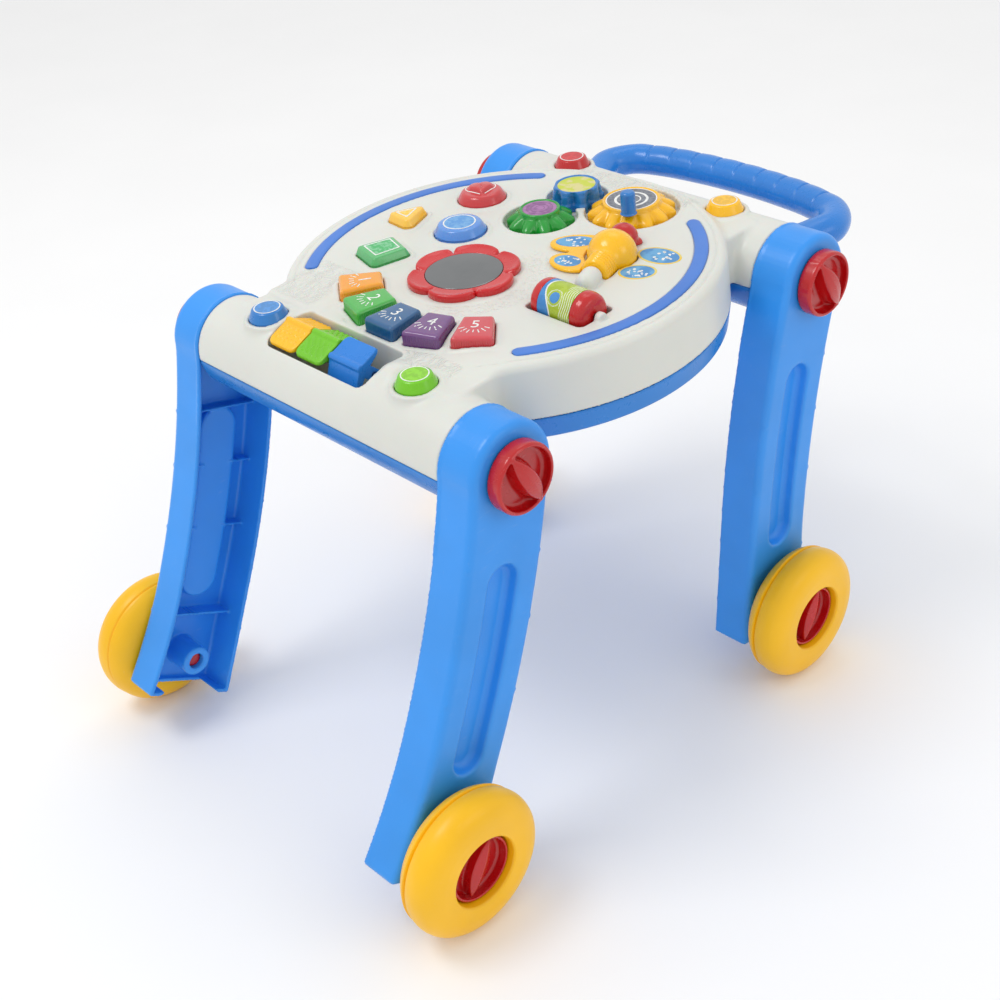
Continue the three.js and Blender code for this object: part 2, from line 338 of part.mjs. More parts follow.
// ---------- buttons
const cornerNames = [['corner_button_blue', C.blue], ['corner_button_green', C.lime], ['corner_button_yellow', C.yellow], ['corner_button_red', C.red]];
corners.forEach(([sx, sy], i) => {
  const x = sx * BUTTON_X, y = sy * BUTTON_Y;
  put(cornerNames[i][0], cylZ(x, y, 24, 40.2, 16, 16, 28).add(cylZ(x, y, 40.2, 47.2, 16, 12.9, 28)).add(cylZ(x, y, 47.2 - 1e-4, 48, 12.9, 12.1, 28)).add(cylZ(x, y, 24, 26, 16.9, 16.9, 28)), cornerNames[i][1], 0.3);
});
const press = (pts, z, b, ins) => slab(pts, 36, z, b, 3, ins).add(slab(grow(pts, 2), 35.4, 37.6));
put('button_triangle', press(triPts, 53, 4, 3.4), C.yellow, 0.28);
put('button_square', press(sqPts, 53, 4, 3.4), C.green, 0.28);
put('button_round', cylZ(...roundC, 36, 46.5, 22.5, 22.5, 28).add(cylZ(...roundC, 46.5 - 1e-4, 54, 22.5, 16, 28)).add(cylZ(...roundC, 35.4, 37.6, 24.5, 24.5, 28)), C.blue, 0.28);
put('button_heart', cylZ(...heartC, 36, 46.5, 21.5, 21.5, 28).add(cylZ(...heartC, 46.5 - 1e-4, 54, 21.5, 15.5, 28)).add(cylZ(...heartC, 54 - 1e-4, 58, 15.2, 7, 28)).add(cylZ(...heartC, 35.4, 37.6, 23.5, 23.5, 28)), C.red, 0.28);
const keyNames = [['key_orange', C.orange], ['key_green', C.green], ['key_teal', C.teal], ['key_purple', C.purple], ['key_red', C.red]];
keyNames.forEach(([n, c], i) => put(n, slab(keyOutline(i), 35, 52, 2.6, 2).add(slab(keyOutline(i, 1.6), 34.6, 37)), c, 0.2));

// ---------- flower mirror
const petal = Array.from({ length: 48 }, (_, i) => { const a = (i / 48) * 2 * Math.PI; const r = 39.4 + 7.2 * Math.pow(Math.abs(Math.cos(3 * a)), 0.8); return [MIRROR_C[0] + r * Math.cos(a), MIRROR_C[1] + r * Math.sin(a)]; });
put('flower_frame', slab(petal, DISC_Z + GAP, 51, 2.4, 2).subtract(cylZ(...MIRROR_C, 47.2, 60, MIRROR_R + 0.3, MIRROR_R + 0.3, 48)), C.red, 0.28);
put('mirror', cylZ(...MIRROR_C, 47.5, 49.4, MIRROR_R, MIRROR_R, 48), C.grey, 0.05, 1);

// ---------- gears
function gear(c, N, phase, topR, topZ) {
  const p = gearR(N) - 0.55, a = 2.3, k = N * 6;
  const pts = Array.from({ length: k }, (_, i) => { const t = (i / k) * 2 * Math.PI; const r = p + a * Math.cos(N * (t - phase)); return [c[0] + r * Math.cos(t), c[1] + r * Math.sin(t)]; });
  let g = slab(pts, POCKET_FLOOR + GAP, 44).add(cylZ(c[0], c[1], 44 - 1e-4, topZ - 3, p - 3.4, topR + 0.4, 36)).add(cylZ(c[0], c[1], topZ - 3 - 1e-4, topZ, topR, topR, 36));
  return g.subtract(cylZ(c[0], c[1], POCKET_FLOOR - 5, 47, 4.8, 4.8, 20));
}
const angle = (a, b) => Math.atan2(b[1] - a[1], b[0] - a[0]);
const phB = 0.2;
const phaseFor = (c1, N1, ph1, c2, N2) => { const f = angle(c1, c2); return f + Math.PI - (Math.PI - N1 * (f - ph1)) / N2; };
put('gear_blue', gear(GEAR_BLUE, N_BLUE, phB, 19.4, 56), C.blue, 0.3);
put('gear_green', gear(GEAR_GREEN, N_GREEN, phaseFor(GEAR_BLUE, N_BLUE, phB, GEAR_GREEN, N_GREEN), 17.4, 54), C.green, 0.3);
const pegC = [GEAR_YELLOW[0] + 16.6, GEAR_YELLOW[1] - 22];
put('gear_yellow', gear(GEAR_YELLOW, N_YELLOW, phaseFor(GEAR_BLUE, N_BLUE, phB, GEAR_YELLOW, N_YELLOW), 24.6, 54).subtract(cylZ(...pegC, 45, 80, 6.7, 6.7, 20)), C.yellow, 0.3);
put('crank_peg', cylZ(...pegC, 45.3, 71, 6.4, 6.4, 20).add(cylZ(...pegC, 71 - 1e-4, 73, 6.4, 4.4, 20)), C.blue, 0.3);

// ---------- butterfly spinner
const bore = M(cyl(2.4, 2.4, 120, 16), mul(flyAxis, RX(-Math.PI / 2)));
put('butterfly_body', fly(0, 28).subtract(bore), C.yellow, 0.26);
let head = M(new THREE.SphereGeometry(12.4, 12, 8), mul(flyAxis, T(3, 0, 24))).add(M(new THREE.SphereGeometry(5.2, 8, 6), mul(flyAxis, T(-3, 9.2, 29)))).add(M(new THREE.SphereGeometry(5.2, 8, 6), mul(flyAxis, T(-3, -9.2, 29))));
head = head.intersect(keep(DISC_Z + GAP, 90)).subtract(fly(1.0, 28)).subtract(M(cyl(2.2, 2.2, 30, 16), mul(flyAxis, T(0, 0, 18), RX(-Math.PI / 2))));
put('butterfly_head', head, C.red, 0.28);
put('butterfly_pin', M(cyl(1.9, 1.9, 79, 14), mul(flyAxis, T(0, 0, -9.5), RX(-Math.PI / 2))), C.steel, 0.3, 1);
const F = (s, w) => { const v = new THREE.Vector3(Math.cos(FLY_DEG * D), Math.sin(FLY_DEG * D), 0); return [FLY_C[0] + v.x * s - v.y * w, FLY_C[1] + v.y * s + v.x * w]; };
const lobe = (s, w, rs, rw, turn, n = 16) => Array.from({ length: n }, (_, i) => { const t = (i / n) * 2 * Math.PI; const a = rs * Math.cos(t), b = rw * Math.sin(t); return F(s + a * Math.cos(turn) - b * Math.sin(turn), w + a * Math.sin(turn) + b * Math.cos(turn)); });
let wings = slab(lobe(13, 34, 15, 25, 0.25), DISC_Z + GAP, 47.4, 1.2, 2).add(slab(lobe(-21, 27, 14, 20, -0.3), DISC_Z + GAP, 47.4, 1.2, 2)).add(slab(lobe(-4, 27, 13, 11, 0), DISC_Z + GAP, 47.4));
wings = wings.subtract(fly(2.2, 28)).subtract(M(new THREE.CylinderGeometry(11.5, 11.5, 30, 12), mul(flyAxis, T(0, 0, -48), RX(-Math.PI / 2))));
wings = wings.subtract(M(new THREE.SphereGeometry(14.2, 14, 10), mul(flyAxis, T(3, 0, 24)))).subtract(M(new THREE.SphereGeometry(7, 10, 8), mul(flyAxis, T(-3, 9.2, 29))));
wings = wings.subtract(slab([F(60, 0), F(-80, 0), F(-80, -60), F(60, -60)], 40, 60));
put('butterfly_wings', wings, C.yellow, 0.3);

// ---------- roller
const R0 = dx - DRUM_HALF, R1 = dx + DRUM_HALF;
const drumBore = cylX(R0 - 5, R1 + 5, dy, dz, 2.4, 16);
put('roller_drum', cylX(R0 + 11.3, R1 - 12.3, dy, dz, DRUM_R, 36).subtract(drumBore), C.lime, 0.26);
const cap = (x0, x1, s) => { const pts = s < 0 ? [[x0, 11], [x0 + 2.4, 14.2], [x0 + 6, 16.3], [x1, DRUM_R]] : [[x0, DRUM_R], [x1 - 6, 16.3], [x1 - 2.4, 14.2], [x1, 11]]; const prof = [[0, pts[0][0]], ...pts.map((p) => [p[1], p[0]]), [0, pts[3][0]]]; return M(lathe(prof, 36), mul(T(0, dy, dz), RY(Math.PI / 2))); };
put('roller_cap_left', cap(R0, R0 + 11, -1).subtract(drumBore), C.red, 0.26);
put('roller_cap_right', cap(R1 - 12, R1, 1).subtract(drumBore), C.red, 0.26);
put('roller_axle', cylX(R0 - 5.6, R1 + 5.6, dy, dz, 2.1, 14), C.steel, 0.3, 1);

// ---------- flip paddles
const padSection = (e = 0) => [[-22.6, 4.6], [-22.6, 7.8], [0, 17.2], [18.9, 8.6], [18.9, 5.4], [5.2, 7.4], [5.2, -4.4], [-5.2, -4.4], [-5.2, 7.4]];
function paddle(x0, x1, turn) {
  const g = new THREE.ExtrudeGeometry(shapeOf([...padSection()].reverse()), { depth: x1 - x0, bevelEnabled: false });
  // section (y, z) extruded along x
  const mat = mul(new THREE.Matrix4().set(0, 0, 1, x0, 1, 0, 0, PAD_Y, 0, 1, 0, PAD_Z, 0, 0, 0, 1), RZ(turn * D));
  return M(g, mat).subtract(cylX(x0 - 5, x1 + 5, PAD_Y, PAD_Z, 2.4, 16));
}
put('paddle_yellow', paddle(-67.6, -35.2, 0), C.yellow, 0.32);
put('paddle_green', paddle(-34.2, -2.0, 0), C.lime, 0.32);
put('paddle_blue', paddle(-1.0, 35, 47), C.blue, 0.32);
put('paddle_axle', cylX(POCKET_X0 - 2.3, POCKET_X1 + 2.3, PAD_Y, PAD_Z, 2.1, 14), C.steel, 0.3, 1);

// ---------- rim strips
for (const [n, a0, a1] of strips) put(n, slab(arcPts(155.7, 167.1, a0, a1), 43, 44.9), C.strip, 0.35);

// ---------- inside
put('battery_door', box(-38.6, 38.6, -35.6, 35.6, DISC_BOTTOM_Z, DISC_BOTTOM_Z + 1.1).add(box(-5, 5, 35, 46, DISC_BOTTOM_Z - 0.9, DISC_BOTTOM_Z - 0.3).add(box(-5, 5, 33, 35.6, DISC_BOTTOM_Z - 0.9, DISC_BOTTOM_Z + 0.5))).subtract(cylZ(0, 41, -40, 0, 1.8, 1.8, 14)), C.blue, 0.4);
put('door_screw', cylZ(0, 41, DISC_BOTTOM_Z - 2.6, DISC_BOTTOM_Z - 1.2, 3.2, 3.2, 18).add(cylZ(0, 41, DISC_BOTTOM_Z - 1.3, -13, 1.4, 1.4, 12)), C.steel, 0.3, 1);
[-1, 0, 1].forEach((k, i) => put(`battery_${i + 1}`, cylX(-25.2, 25.2, k * 17, -10.4, 7.2, 24).add(cylX(25.1, 27.2, k * 17, -10.4, 2.7, 14)), i === 1 ? C.grey : C.black, 0.35, 0.3));
put('circuit_board', slab(rounded([[-140, -60], [70, -110], [75, 105], [-110, 110]], 8, 3), 6, 7.6), C.board, 0.45);
put('speaker', cylZ(-90, 0, -18, -14.2, 27, 27, 32).add(cylZ(-90, 0, -14.3, -6, 14, 12, 24)), C.black, 0.6);

export default group;
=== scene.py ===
import bpy, math
import numpy as np
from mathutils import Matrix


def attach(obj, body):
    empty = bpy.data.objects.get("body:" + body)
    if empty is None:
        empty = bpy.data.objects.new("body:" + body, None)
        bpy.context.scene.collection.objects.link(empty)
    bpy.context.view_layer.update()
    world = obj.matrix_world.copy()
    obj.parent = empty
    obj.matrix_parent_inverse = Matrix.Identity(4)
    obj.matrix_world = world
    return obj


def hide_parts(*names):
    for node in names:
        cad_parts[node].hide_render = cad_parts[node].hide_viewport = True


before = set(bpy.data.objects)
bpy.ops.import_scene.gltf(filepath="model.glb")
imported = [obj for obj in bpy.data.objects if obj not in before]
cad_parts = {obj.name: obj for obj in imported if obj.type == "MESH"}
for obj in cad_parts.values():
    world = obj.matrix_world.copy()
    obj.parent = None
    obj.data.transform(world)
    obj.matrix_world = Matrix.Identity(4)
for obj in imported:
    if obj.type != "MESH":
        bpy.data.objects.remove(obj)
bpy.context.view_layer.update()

# ------------------------------------------------------------------ frame
TILT = math.radians(2.9)
CT, ST = math.cos(TILT), math.sin(TILT)
SY, BZ, BY = 5.015, 357.4, 175.7
SEAM = -2.0


def world_of(v):
    """body-frame millimetres -> part-frame metres"""
    v = np.asarray(v, float)
    return np.stack([v[:, 0], v[:, 1] * CT - v[:, 2] * ST + SY, v[:, 1] * ST + v[:, 2] * CT + BZ], 1) / 1000.0


def stand_of(v):
    """standing-frame millimetres (before the y shift) -> part-frame metres"""
    v = np.asarray(v, float)
    return np.stack([v[:, 0], v[:, 1] + SY, v[:, 2]], 1) / 1000.0


AX = {"front": (-BY * CT, BZ - BY * ST), "rear": (BY * CT, BZ + BY * ST)}

# ------------------------------------------------------------------ materials


def nodes_of(name):
    m = bpy.data.materials.new(name)
    m.use_nodes = True
    nt = m.node_tree
    return m, nt, nt.nodes["Principled BSDF"], nt.nodes.new("ShaderNodeTexCoord")


def link(nt, a, b):
    nt.links.new(a, b)


def noise(nt, tc, scale, detail=3.0, rough=0.55):
    n = nt.nodes.new("ShaderNodeTexNoise")
    n.inputs["Scale"].default_value = scale
    n.inputs["Detail"].default_value = detail
    n.inputs["Roughness"].default_value = rough
    link(nt, tc.outputs["Object"], n.inputs["Vector"])
    return n.outputs["Fac"]


def ramp(nt, src, a, b, lo=0.35, hi=0.65):
    r = nt.nodes.new("ShaderNodeMapRange")
    r.inputs["From Min"].default_value = lo
    r.inputs["From Max"].default_value = hi
    r.inputs["To Min"].default_value = a
    r.inputs["To Max"].default_value = b
    link(nt, src, r.inputs["Value"])
    return r.outputs["Result"]


def mix(nt, fac, a, b):
    m = nt.nodes.new("ShaderNodeMix")
    m.data_type = "RGBA"
    for sock, v in ((m.inputs["Factor"], fac), (m.inputs["A"], a), (m.inputs["B"], b)):
        if isinstance(v, (tuple, list)):
            sock.default_value = (*v[:3], 1.0)
        elif isinstance(v, (int, float)):
            sock.default_value = v
        else:
            link(nt, v, sock)
    return m.outputs["Result"]


def op(nt, kind, a, b=None, c=None):
    m = nt.nodes.new("ShaderNodeMath")
    m.operation = kind
    for i, v in enumerate((a, b, c)):
        if v is None:
            continue
        if isinstance(v, (int, float)):
            m.inputs[i].default_value = v
        else:
            link(nt, v, m.inputs[i])
    return m.outputs[0]


def bump(nt, bsdf, height, strength, dist=0.001, prev=None):
    b = nt.nodes.new("ShaderNodeBump")
    b.inputs["Strength"].default_value = strength
    b.inputs["Distance"].default_value = dist
    link(nt, height, b.inputs["Height"])
    if prev is not None:
        link(nt, prev, b.inputs["Normal"])
    link(nt, b.outputs["Normal"], bsdf.inputs["Normal"])
    return b.outputs["Normal"]


def lin(c):
    return tuple((x / 255 / 12.92) if x / 255 <= 0.04045 else ((x / 255 + 0.055) / 1.055) ** 2.4 for x in c)


def scuffs(nt, tc):
    """thin handling marks: a stretched noise kept only at its peaks"""
    mp = nt.nodes.new("ShaderNodeMapping")
    mp.inputs["Scale"].default_value = (900.0, 70.0, 260.0)
    mp.inputs["Rotation"].default_value = (0.4, 0.3, 0.7)
    link(nt, tc.outputs["Object"], mp.inputs["Vector"])
    n = nt.nodes.new("ShaderNodeTexNoise")
    n.inputs["Scale"].default_value = 1.0
    n.inputs["Detail"].default_value = 2.0
    link(nt, mp.outputs["Vector"], n.inputs["Vector"])
    return ramp(nt, n.outputs["Fac"], 0.0, 1.0, 0.66, 0.78)


def plastic(name, rgb, rough=0.32, var=0.05, grain=0.05, coat=0.0, spec=0.5, sss=0.0, grain_scale=1500.0):
    """moulded plastic: slow colour drift, a fine moulded grain, soft sink marks and faint scuffs"""
    m, nt, bsdf, tc = nodes_of(name)
    c = lin(rgb)
    dark = tuple(x * (1 - var) for x in c)
    light = tuple(min(1, x * (1 + var * 0.7)) for x in c)
    slow = ramp(nt, noise(nt, tc, 14.0, 2.0), 0.0, 1.0)
    col = mix(nt, slow, dark, light)
    sc = scuffs(nt, tc)
    col = mix(nt, op(nt, "MULTIPLY", sc, 0.10), col, tuple(0.6 * x + 0.4 * 0.8 for x in c))
    link(nt, col, bsdf.inputs["Base Color"])
    r = ramp(nt, noise(nt, tc, 60.0, 4.0), rough - 0.05, rough + 0.06)
    r = op(nt, "ADD", r, op(nt, "MULTIPLY", sc, 0.12))
    link(nt, r, bsdf.inputs["Roughness"])
    h1 = bump(nt, bsdf, noise(nt, tc, grain_scale, 2.0), grain, 0.0002)
    bump(nt, bsdf, noise(nt, tc, 45.0, 1.0), 0.06, 0.0012, h1)
    bsdf.inputs["Specular IOR Level"].default_value = spec
    if coat:
        bsdf.inputs["Coat Weight"].default_value = coat
        bsdf.inputs["Coat Roughness"].default_value = 0.08
    if sss:
        bsdf.inputs["Subsurface Weight"].default_value = sss
        bsdf.inputs["Subsurface Radius"].default_value = (1.0, 0.7, 0.5)
        bsdf.inputs["Subsurface Scale"].default_value = 0.004
    m.diffuse_color = (*c, 1)
    return m


def frosted(name, deep, top, rough=0.2, z0=40.0, z1=53.0, whiten=0.5):
    """translucent cap: deep colour low on its walls, milky towards its top face"""
    m, nt, bsdf, tc = nodes_of(name)
    a = nt.nodes.new("ShaderNodeAttribute")
    a.attribute_name = "bz"
    g = ramp(nt, a.outputs["Fac"], 0.0, 1.0, z0, z1)
    speck = ramp(nt, noise(nt, tc, 700.0, 2.0), -0.10, 0.10)
    g = op(nt, "MULTIPLY", op(nt, "ADD", g, speck), whiten)
    col = mix(nt, g, lin(deep), lin(top))
    slow = ramp(nt, noise(nt, tc, 90.0, 3.0), 0.0, 0.14)
    col = mix(nt, slow, col, lin(deep))
    link(nt, col, bsdf.inputs["Base Color"])
    link(nt, ramp(nt, noise(nt, tc, 120.0, 3.0), rough - 0.05, rough + 0.07), bsdf.inputs["Roughness"])
    bump(nt, bsdf, noise(nt, tc, 900.0, 2.0), 0.05, 0.0002)
    bsdf.inputs["Coat Weight"].default_value = 0.5
    bsdf.inputs["Coat Roughness"].default_value = 0.06
    bsdf.inputs["Subsurface Weight"].default_value = 0.2
    bsdf.inputs["Subsurface Scale"].default_value = 0.004
    return m


def print_mat(name, rgb, rgb2=None, scale=400.0, rough=0.42, lo=0.45, hi=0.55):
    """printed film: flat ink with a fine halftone and a slight unevenness"""
    m, nt, bsdf, tc = nodes_of(name)
    c = lin(rgb)
    c2 = lin(rgb2) if rgb2 else tuple(x * 0.93 for x in c)
    col = mix(nt, ramp(nt, noise(nt, tc, scale, 2.0), 0.0, 1.0, lo, hi), c, c2)
    link(nt, col, bsdf.inputs["Base Color"])
    link(nt, ramp(nt, noise(nt, tc, 200.0, 2.0), rough - 0.06, rough + 0.06), bsdf.inputs["Roughness"])
    bump(nt, bsdf, noise(nt, tc, 1200.0, 1.0), 0.04, 0.0001)
    return m


def metal(name, rgb, rough, brushed=True):
    m, nt, bsdf, tc = nodes_of(name)
    c = lin(rgb)
    mp = nt.nodes.new("ShaderNodeMapping")
    mp.inputs["Scale"].default_value = (30.0, 900.0, 900.0)
    link(nt, tc.outputs["Object"], mp.inputs["Vector"])
    n = nt.nodes.new("ShaderNodeTexNoise")
    n.inputs["Scale"].default_value = 1.0
    link(nt, mp.outputs["Vector"], n.inputs["Vector"])
    link(nt, mix(nt, ramp(nt, n.outputs["Fac"], 0, 1), tuple(x * 0.85 for x in c), c), bsdf.inputs["Base Color"])
    link(nt, ramp(nt, n.outputs["Fac"], rough * 0.8, rough * 1.3), bsdf.inputs["Roughness"])
    if brushed:
        bump(nt, bsdf, n.outputs["Fac"], 0.05, 0.0002)
    bsdf.inputs["Metallic"].default_value = 1.0
    return m


def white_shell():
    """warm white ABS with relief regions moulded into it: a grass relief by the keys and stippling round the flower"""
    m, nt, bsdf, tc = nodes_of("white_shell")
    c = lin((219, 220, 213))
    slow = ramp(nt, noise(nt, tc, 9.0, 3.0), 0.0, 1.0)
    col = mix(nt, slow, tuple(x * 0.955 for x in c), c)
    sc = scuffs(nt, tc)
    col = mix(nt, op(nt, "MULTIPLY", sc, 0.12), col, lin((196, 192, 182)))
    link(nt, col, bsdf.inputs["Base Color"])
    relief = nt.nodes.new("ShaderNodeAttribute")
    relief.attribute_name = "relief"
    stip = nt.nodes.new("ShaderNodeAttribute")
    stip.attribute_name = "stipple"
    r = ramp(nt, noise(nt, tc, 60.0, 4.0), 0.33, 0.44)
    r = op(nt, "ADD", r, op(nt, "MULTIPLY", relief.outputs["Fac"], 0.08))
    link(nt, r, bsdf.inputs["Roughness"])
    w = nt.nodes.new("ShaderNodeTexWave")
    w.inputs["Scale"].default_value = 85.0
    w.inputs["Distortion"].default_value = 16.0
    w.inputs["Detail"].default_value = 2.0
    w.inputs["Detail Scale"].default_value = 0.9
    link(nt, tc.outputs["Object"], w.inputs["Vector"])
    v = nt.nodes.new("ShaderNodeTexVoronoi")
    v.inputs["Scale"].default_value = 330.0
    link(nt, tc.outputs["Object"], v.inputs["Vector"])
    h = op(nt, "MULTIPLY", w.outputs["Fac"], relief.outputs["Fac"])
    dots = ramp(nt, v.outputs["Distance"], 1.0, 0.0, 0.15, 0.55)
    h = op(nt, "ADD", h, op(nt, "MULTIPLY", op(nt, "MULTIPLY", dots, stip.outputs["Fac"]), 0.7))
    n1 = bump(nt, bsdf, noise(nt, tc, 1600.0, 2.0), 0.05, 0.0002)
    n2 = bump(nt, bsdf, noise(nt, tc, 30.0, 1.0), 0.05, 0.0015, n1)
    bump(nt, bsdf, h, 0.55, 0.0012, n2)
    bsdf.inputs["Subsurface Weight"].default_value = 0.12
    bsdf.inputs["Subsurface Scale"].default_value = 0.006
    return m


BLUE = (38, 126, 208)
LEG = (48, 148, 238)
MAT = {
    "white": white_shell(),
    "blue": plastic("blue_plastic", BLUE, 0.30, 0.06, 0.05),
    "leg": plastic("leg_blue", LEG, 0.33, 0.05, 0.06),
    "handle": plastic("handle_blue", (34, 126, 212), 0.27, 0.05, 0.05, coat=0.2),
    "wheel": plastic("wheel_yellow", (252, 192, 0), 0.36, 0.05, 0.10, grain_scale=900.0),
    "red": plastic("red_plastic", (190, 16, 20), 0.24, 0.07, 0.04, coat=0.3),
    "yellow": plastic("yellow_plastic", (252, 190, 2), 0.24, 0.05, 0.04, coat=0.3, sss=0.08),
    "green": plastic("green_plastic", (16, 148, 44), 0.24, 0.06, 0.04, coat=0.3),
    "lime": plastic("lime_plastic", (112, 196, 14), 0.26, 0.05, 0.05, coat=0.2),
    "gear_blue": plastic("gear_blue_plastic", (34, 120, 196), 0.25, 0.05, 0.04, coat=0.3),
    "paddle_blue": plastic("paddle_blue_plastic", (34, 126, 216), 0.30, 0.05, 0.45, grain_scale=420.0),
    "strip": plastic("strip_blue", (66, 122, 208), 0.36, 0.06, 0.10, grain_scale=800.0),
    "f_red": frosted("frosted_red", (196, 20, 28), (222, 120, 124), whiten=0.20),
    "f_blue": frosted("frosted_blue", (36, 120, 214), (150, 190, 226), whiten=0.30),
    "f_green": frosted("frosted_green", (20, 158, 58), (130, 206, 150), whiten=0.45, z1=52.5),
    "f_yellow": frosted("frosted_yellow", (250, 184, 20), (250, 214, 110), whiten=0.5),
    "k_orange": frosted("key_orange_plastic", (238, 150, 6), (236, 164, 50), whiten=0.5, z0=35, z1=52),
    "k_green": frosted("key_green_plastic", (36, 166, 40), (96, 188, 96), whiten=0.5, z0=35, z1=52),
    "k_teal": frosted("key_teal_plastic", (6, 84, 136), (48, 100, 146), whiten=0.6, z0=35, z1=52),
    "k_purple": frosted("key_purple_plastic", (96, 46, 110), (124, 82, 140), whiten=0.6, z0=35, z1=52),
    "k_red": frosted("key_red_plastic", (204, 34, 44), (204, 84, 94), whiten=0.55, z0=35, z1=52),
    "ink": print_mat("white_print", (240, 240, 236), (222, 224, 222)),
    "p_mauve": print_mat("print_mauve", (168, 116, 168), (142, 92, 146), 160.0),
    "p_lime": print_mat("print_lime", (196, 206, 60), (214, 206, 140), 120.0),
    "p_grey": print_mat("print_grey", (128, 132, 140), (104, 108, 118), 300.0),
    "p_blue": print_mat("print_blue", (98, 166, 214), (70, 138, 198), 90.0),
    "p_yellow": print_mat("print_yellow", (236, 196, 60), (226, 206, 110), 120.0),
    "p_olive": print_mat("print_olive", (164, 184, 44), (178, 196, 62), 120.0),
    "mirror": None,
    "steel": metal("steel", (196, 198, 202), 0.28),
    "cell": plastic("cell_wrap", (38, 40, 44), 0.35, 0.1, 0.03, coat=0.3),
    "board": plastic("board_green", (24, 96, 52), 0.45, 0.2, 0.3, grain_scale=300.0),
    "cone": plastic("speaker_cone", (34, 34, 36), 0.7, 0.1, 0.3),
}
m_, nt_, b_, tc_ = nodes_of("mirror_film")
link(nt_, mix(nt_, ramp(nt_, noise(nt_, tc_, 20.0, 3.0), 0, 1), (0.215, 0.225, 0.23), (0.25, 0.255, 0.26)), b_.inputs["Base Color"])
link(nt_, ramp(nt_, noise(nt_, tc_, 150.0, 4.0), 0.10, 0.17), b_.inputs["Roughness"])
bump(nt_, b_, noise(nt_, tc_, 40.0, 1.0), 0.03, 0.001)
b_.inputs["Metallic"].default_value = 1.0
MAT["mirror"] = m_

# ------------------------------------------------------------------ mesh making


def make(name, verts, faces, mats, body, replaces, slot, conv=world_of, mat_index=None, smooth=True, sharp=None, attrs=None):
    """verts in mm (N,3); faces an (M,4) array or a list of lists; rides on body and stands for CAD nodes"""
    verts = np.asarray(verts, float)
    me = bpy.data.meshes.new(name)
    pts = conv(verts)
    if isinstance(faces, np.ndarray) and faces.ndim == 2:
        k = faces.shape[1]
        me.vertices.add(len(pts))
        me.vertices.foreach_set("co", pts.astype(np.float32).ravel())
        me.loops.add(faces.size)
        me.loops.foreach_set("vertex_index", faces.astype(np.int32).ravel())
        me.polygons.add(len(faces))
        me.polygons.foreach_set("loop_start", np.arange(0, faces.size, k, dtype=np.int32))
        me.update(calc_edges=True)
    else:
        me.from_pydata([tuple(p) for p in pts], [], [tuple(int(i) for i in f) for f in faces])
        me.update()
    n = len(me.polygons)
    if smooth:
        me.polygons.foreach_set("use_smooth", np.ones(n, bool))
    mats = mats if isinstance(mats, (list, tuple)) else [mats]
    for m in mats:
        me.materials.append(MAT[m] if isinstance(m, str) else m)
    if mat_index is not None:
        me.polygons.foreach_set("material_index", np.asarray(mat_index, np.int32))
    a = me.attributes.new("bz", "FLOAT", "POINT")
    a.data.foreach_set("value", verts[:, 2].astype(np.float32))
    for key, val in (attrs or {}).items():
        a = me.attributes.new(key, "FLOAT", "POINT")
        a.data.foreach_set("value", np.asarray(val, np.float32))
    if sharp is not None:
        try:
            me.set_sharp_from_angle(angle=math.radians(sharp))
        except Exception:
            pass
    ob = bpy.data.objects.new(name, me)
    bpy.context.scene.collection.objects.link(ob)
    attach(ob, body)
    if replaces:
        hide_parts(*([replaces] if isinstance(replaces, str) else replaces))
    return ob


F32 = np.float32


def smin(a, b, k):
    h = np.clip(0.5 + 0.5 * (b - a) / k, 0, 1)
    return b + (a - b) * h - k * h * (1 - h)


def smax(a, b, k):
    return -smin(-a, -b, k)


def rext(d, h, r):
    a, b = d + r, h + r
    return np.minimum(np.maximum(a, b), 0) + np.hypot(np.maximum(a, 0), np.maximum(b, 0)) - r


def span(z, z0, z1):
    return np.maximum(z0 - z, z - z1)


def rbox(x, y, cx, cy, hx, hy, r):
    qx, qy = np.abs(x - cx) - hx + r, np.abs(y - cy) - hy + r
    return np.minimum(np.maximum(qx, qy), 0) + np.hypot(np.maximum(qx, 0), np.maximum(qy, 0)) - r


def sstep(x, a, b):
    t = np.clip((x - a) / (b - a), 0, 1)
    return t * t * (3 - 2 * t)


def poly(x, y, pts):
    d = np.full(x.shape, 1e9)
    s = np.ones(x.shape)
    n = len(pts)
    j = n - 1
    for i in range(n):
        ex, ey = pts[j][0] - pts[i][0], pts[j][1] - pts[i][1]
        wx, wy = x - pts[i][0], y - pts[i][1]
        t = np.clip((wx * ex + wy * ey) / max(1e-12, ex * ex + ey * ey), 0, 1)
        bx, by = wx - ex * t, wy - ey * t
        d = np.minimum(d, bx * bx + by * by)
        c1 = y >= pts[i][1]
        c2 = y < pts[j][1]
        c3 = ex * wy > ey * wx
        s = np.where((c1 & c2 & c3) | (~c1 & ~c2 & ~c3), -s, s)
        j = i
    return s * np.sqrt(d)


EDGES = [((0, 0, 0), (1, 0, 0)), ((0, 1, 0), (1, 1, 0)), ((0, 0, 1), (1, 0, 1)), ((0, 1, 1), (1, 1, 1)),
         ((0, 0, 0), (0, 1, 0)), ((1, 0, 0), (1, 1, 0)), ((0, 0, 1), (0, 1, 1)), ((1, 0, 1), (1, 1, 1)),
         ((0, 0, 0), (0, 0, 1)), ((1, 0, 0), (1, 0, 1)), ((0, 1, 0), (0, 1, 1)), ((1, 1, 0), (1, 1, 1))]


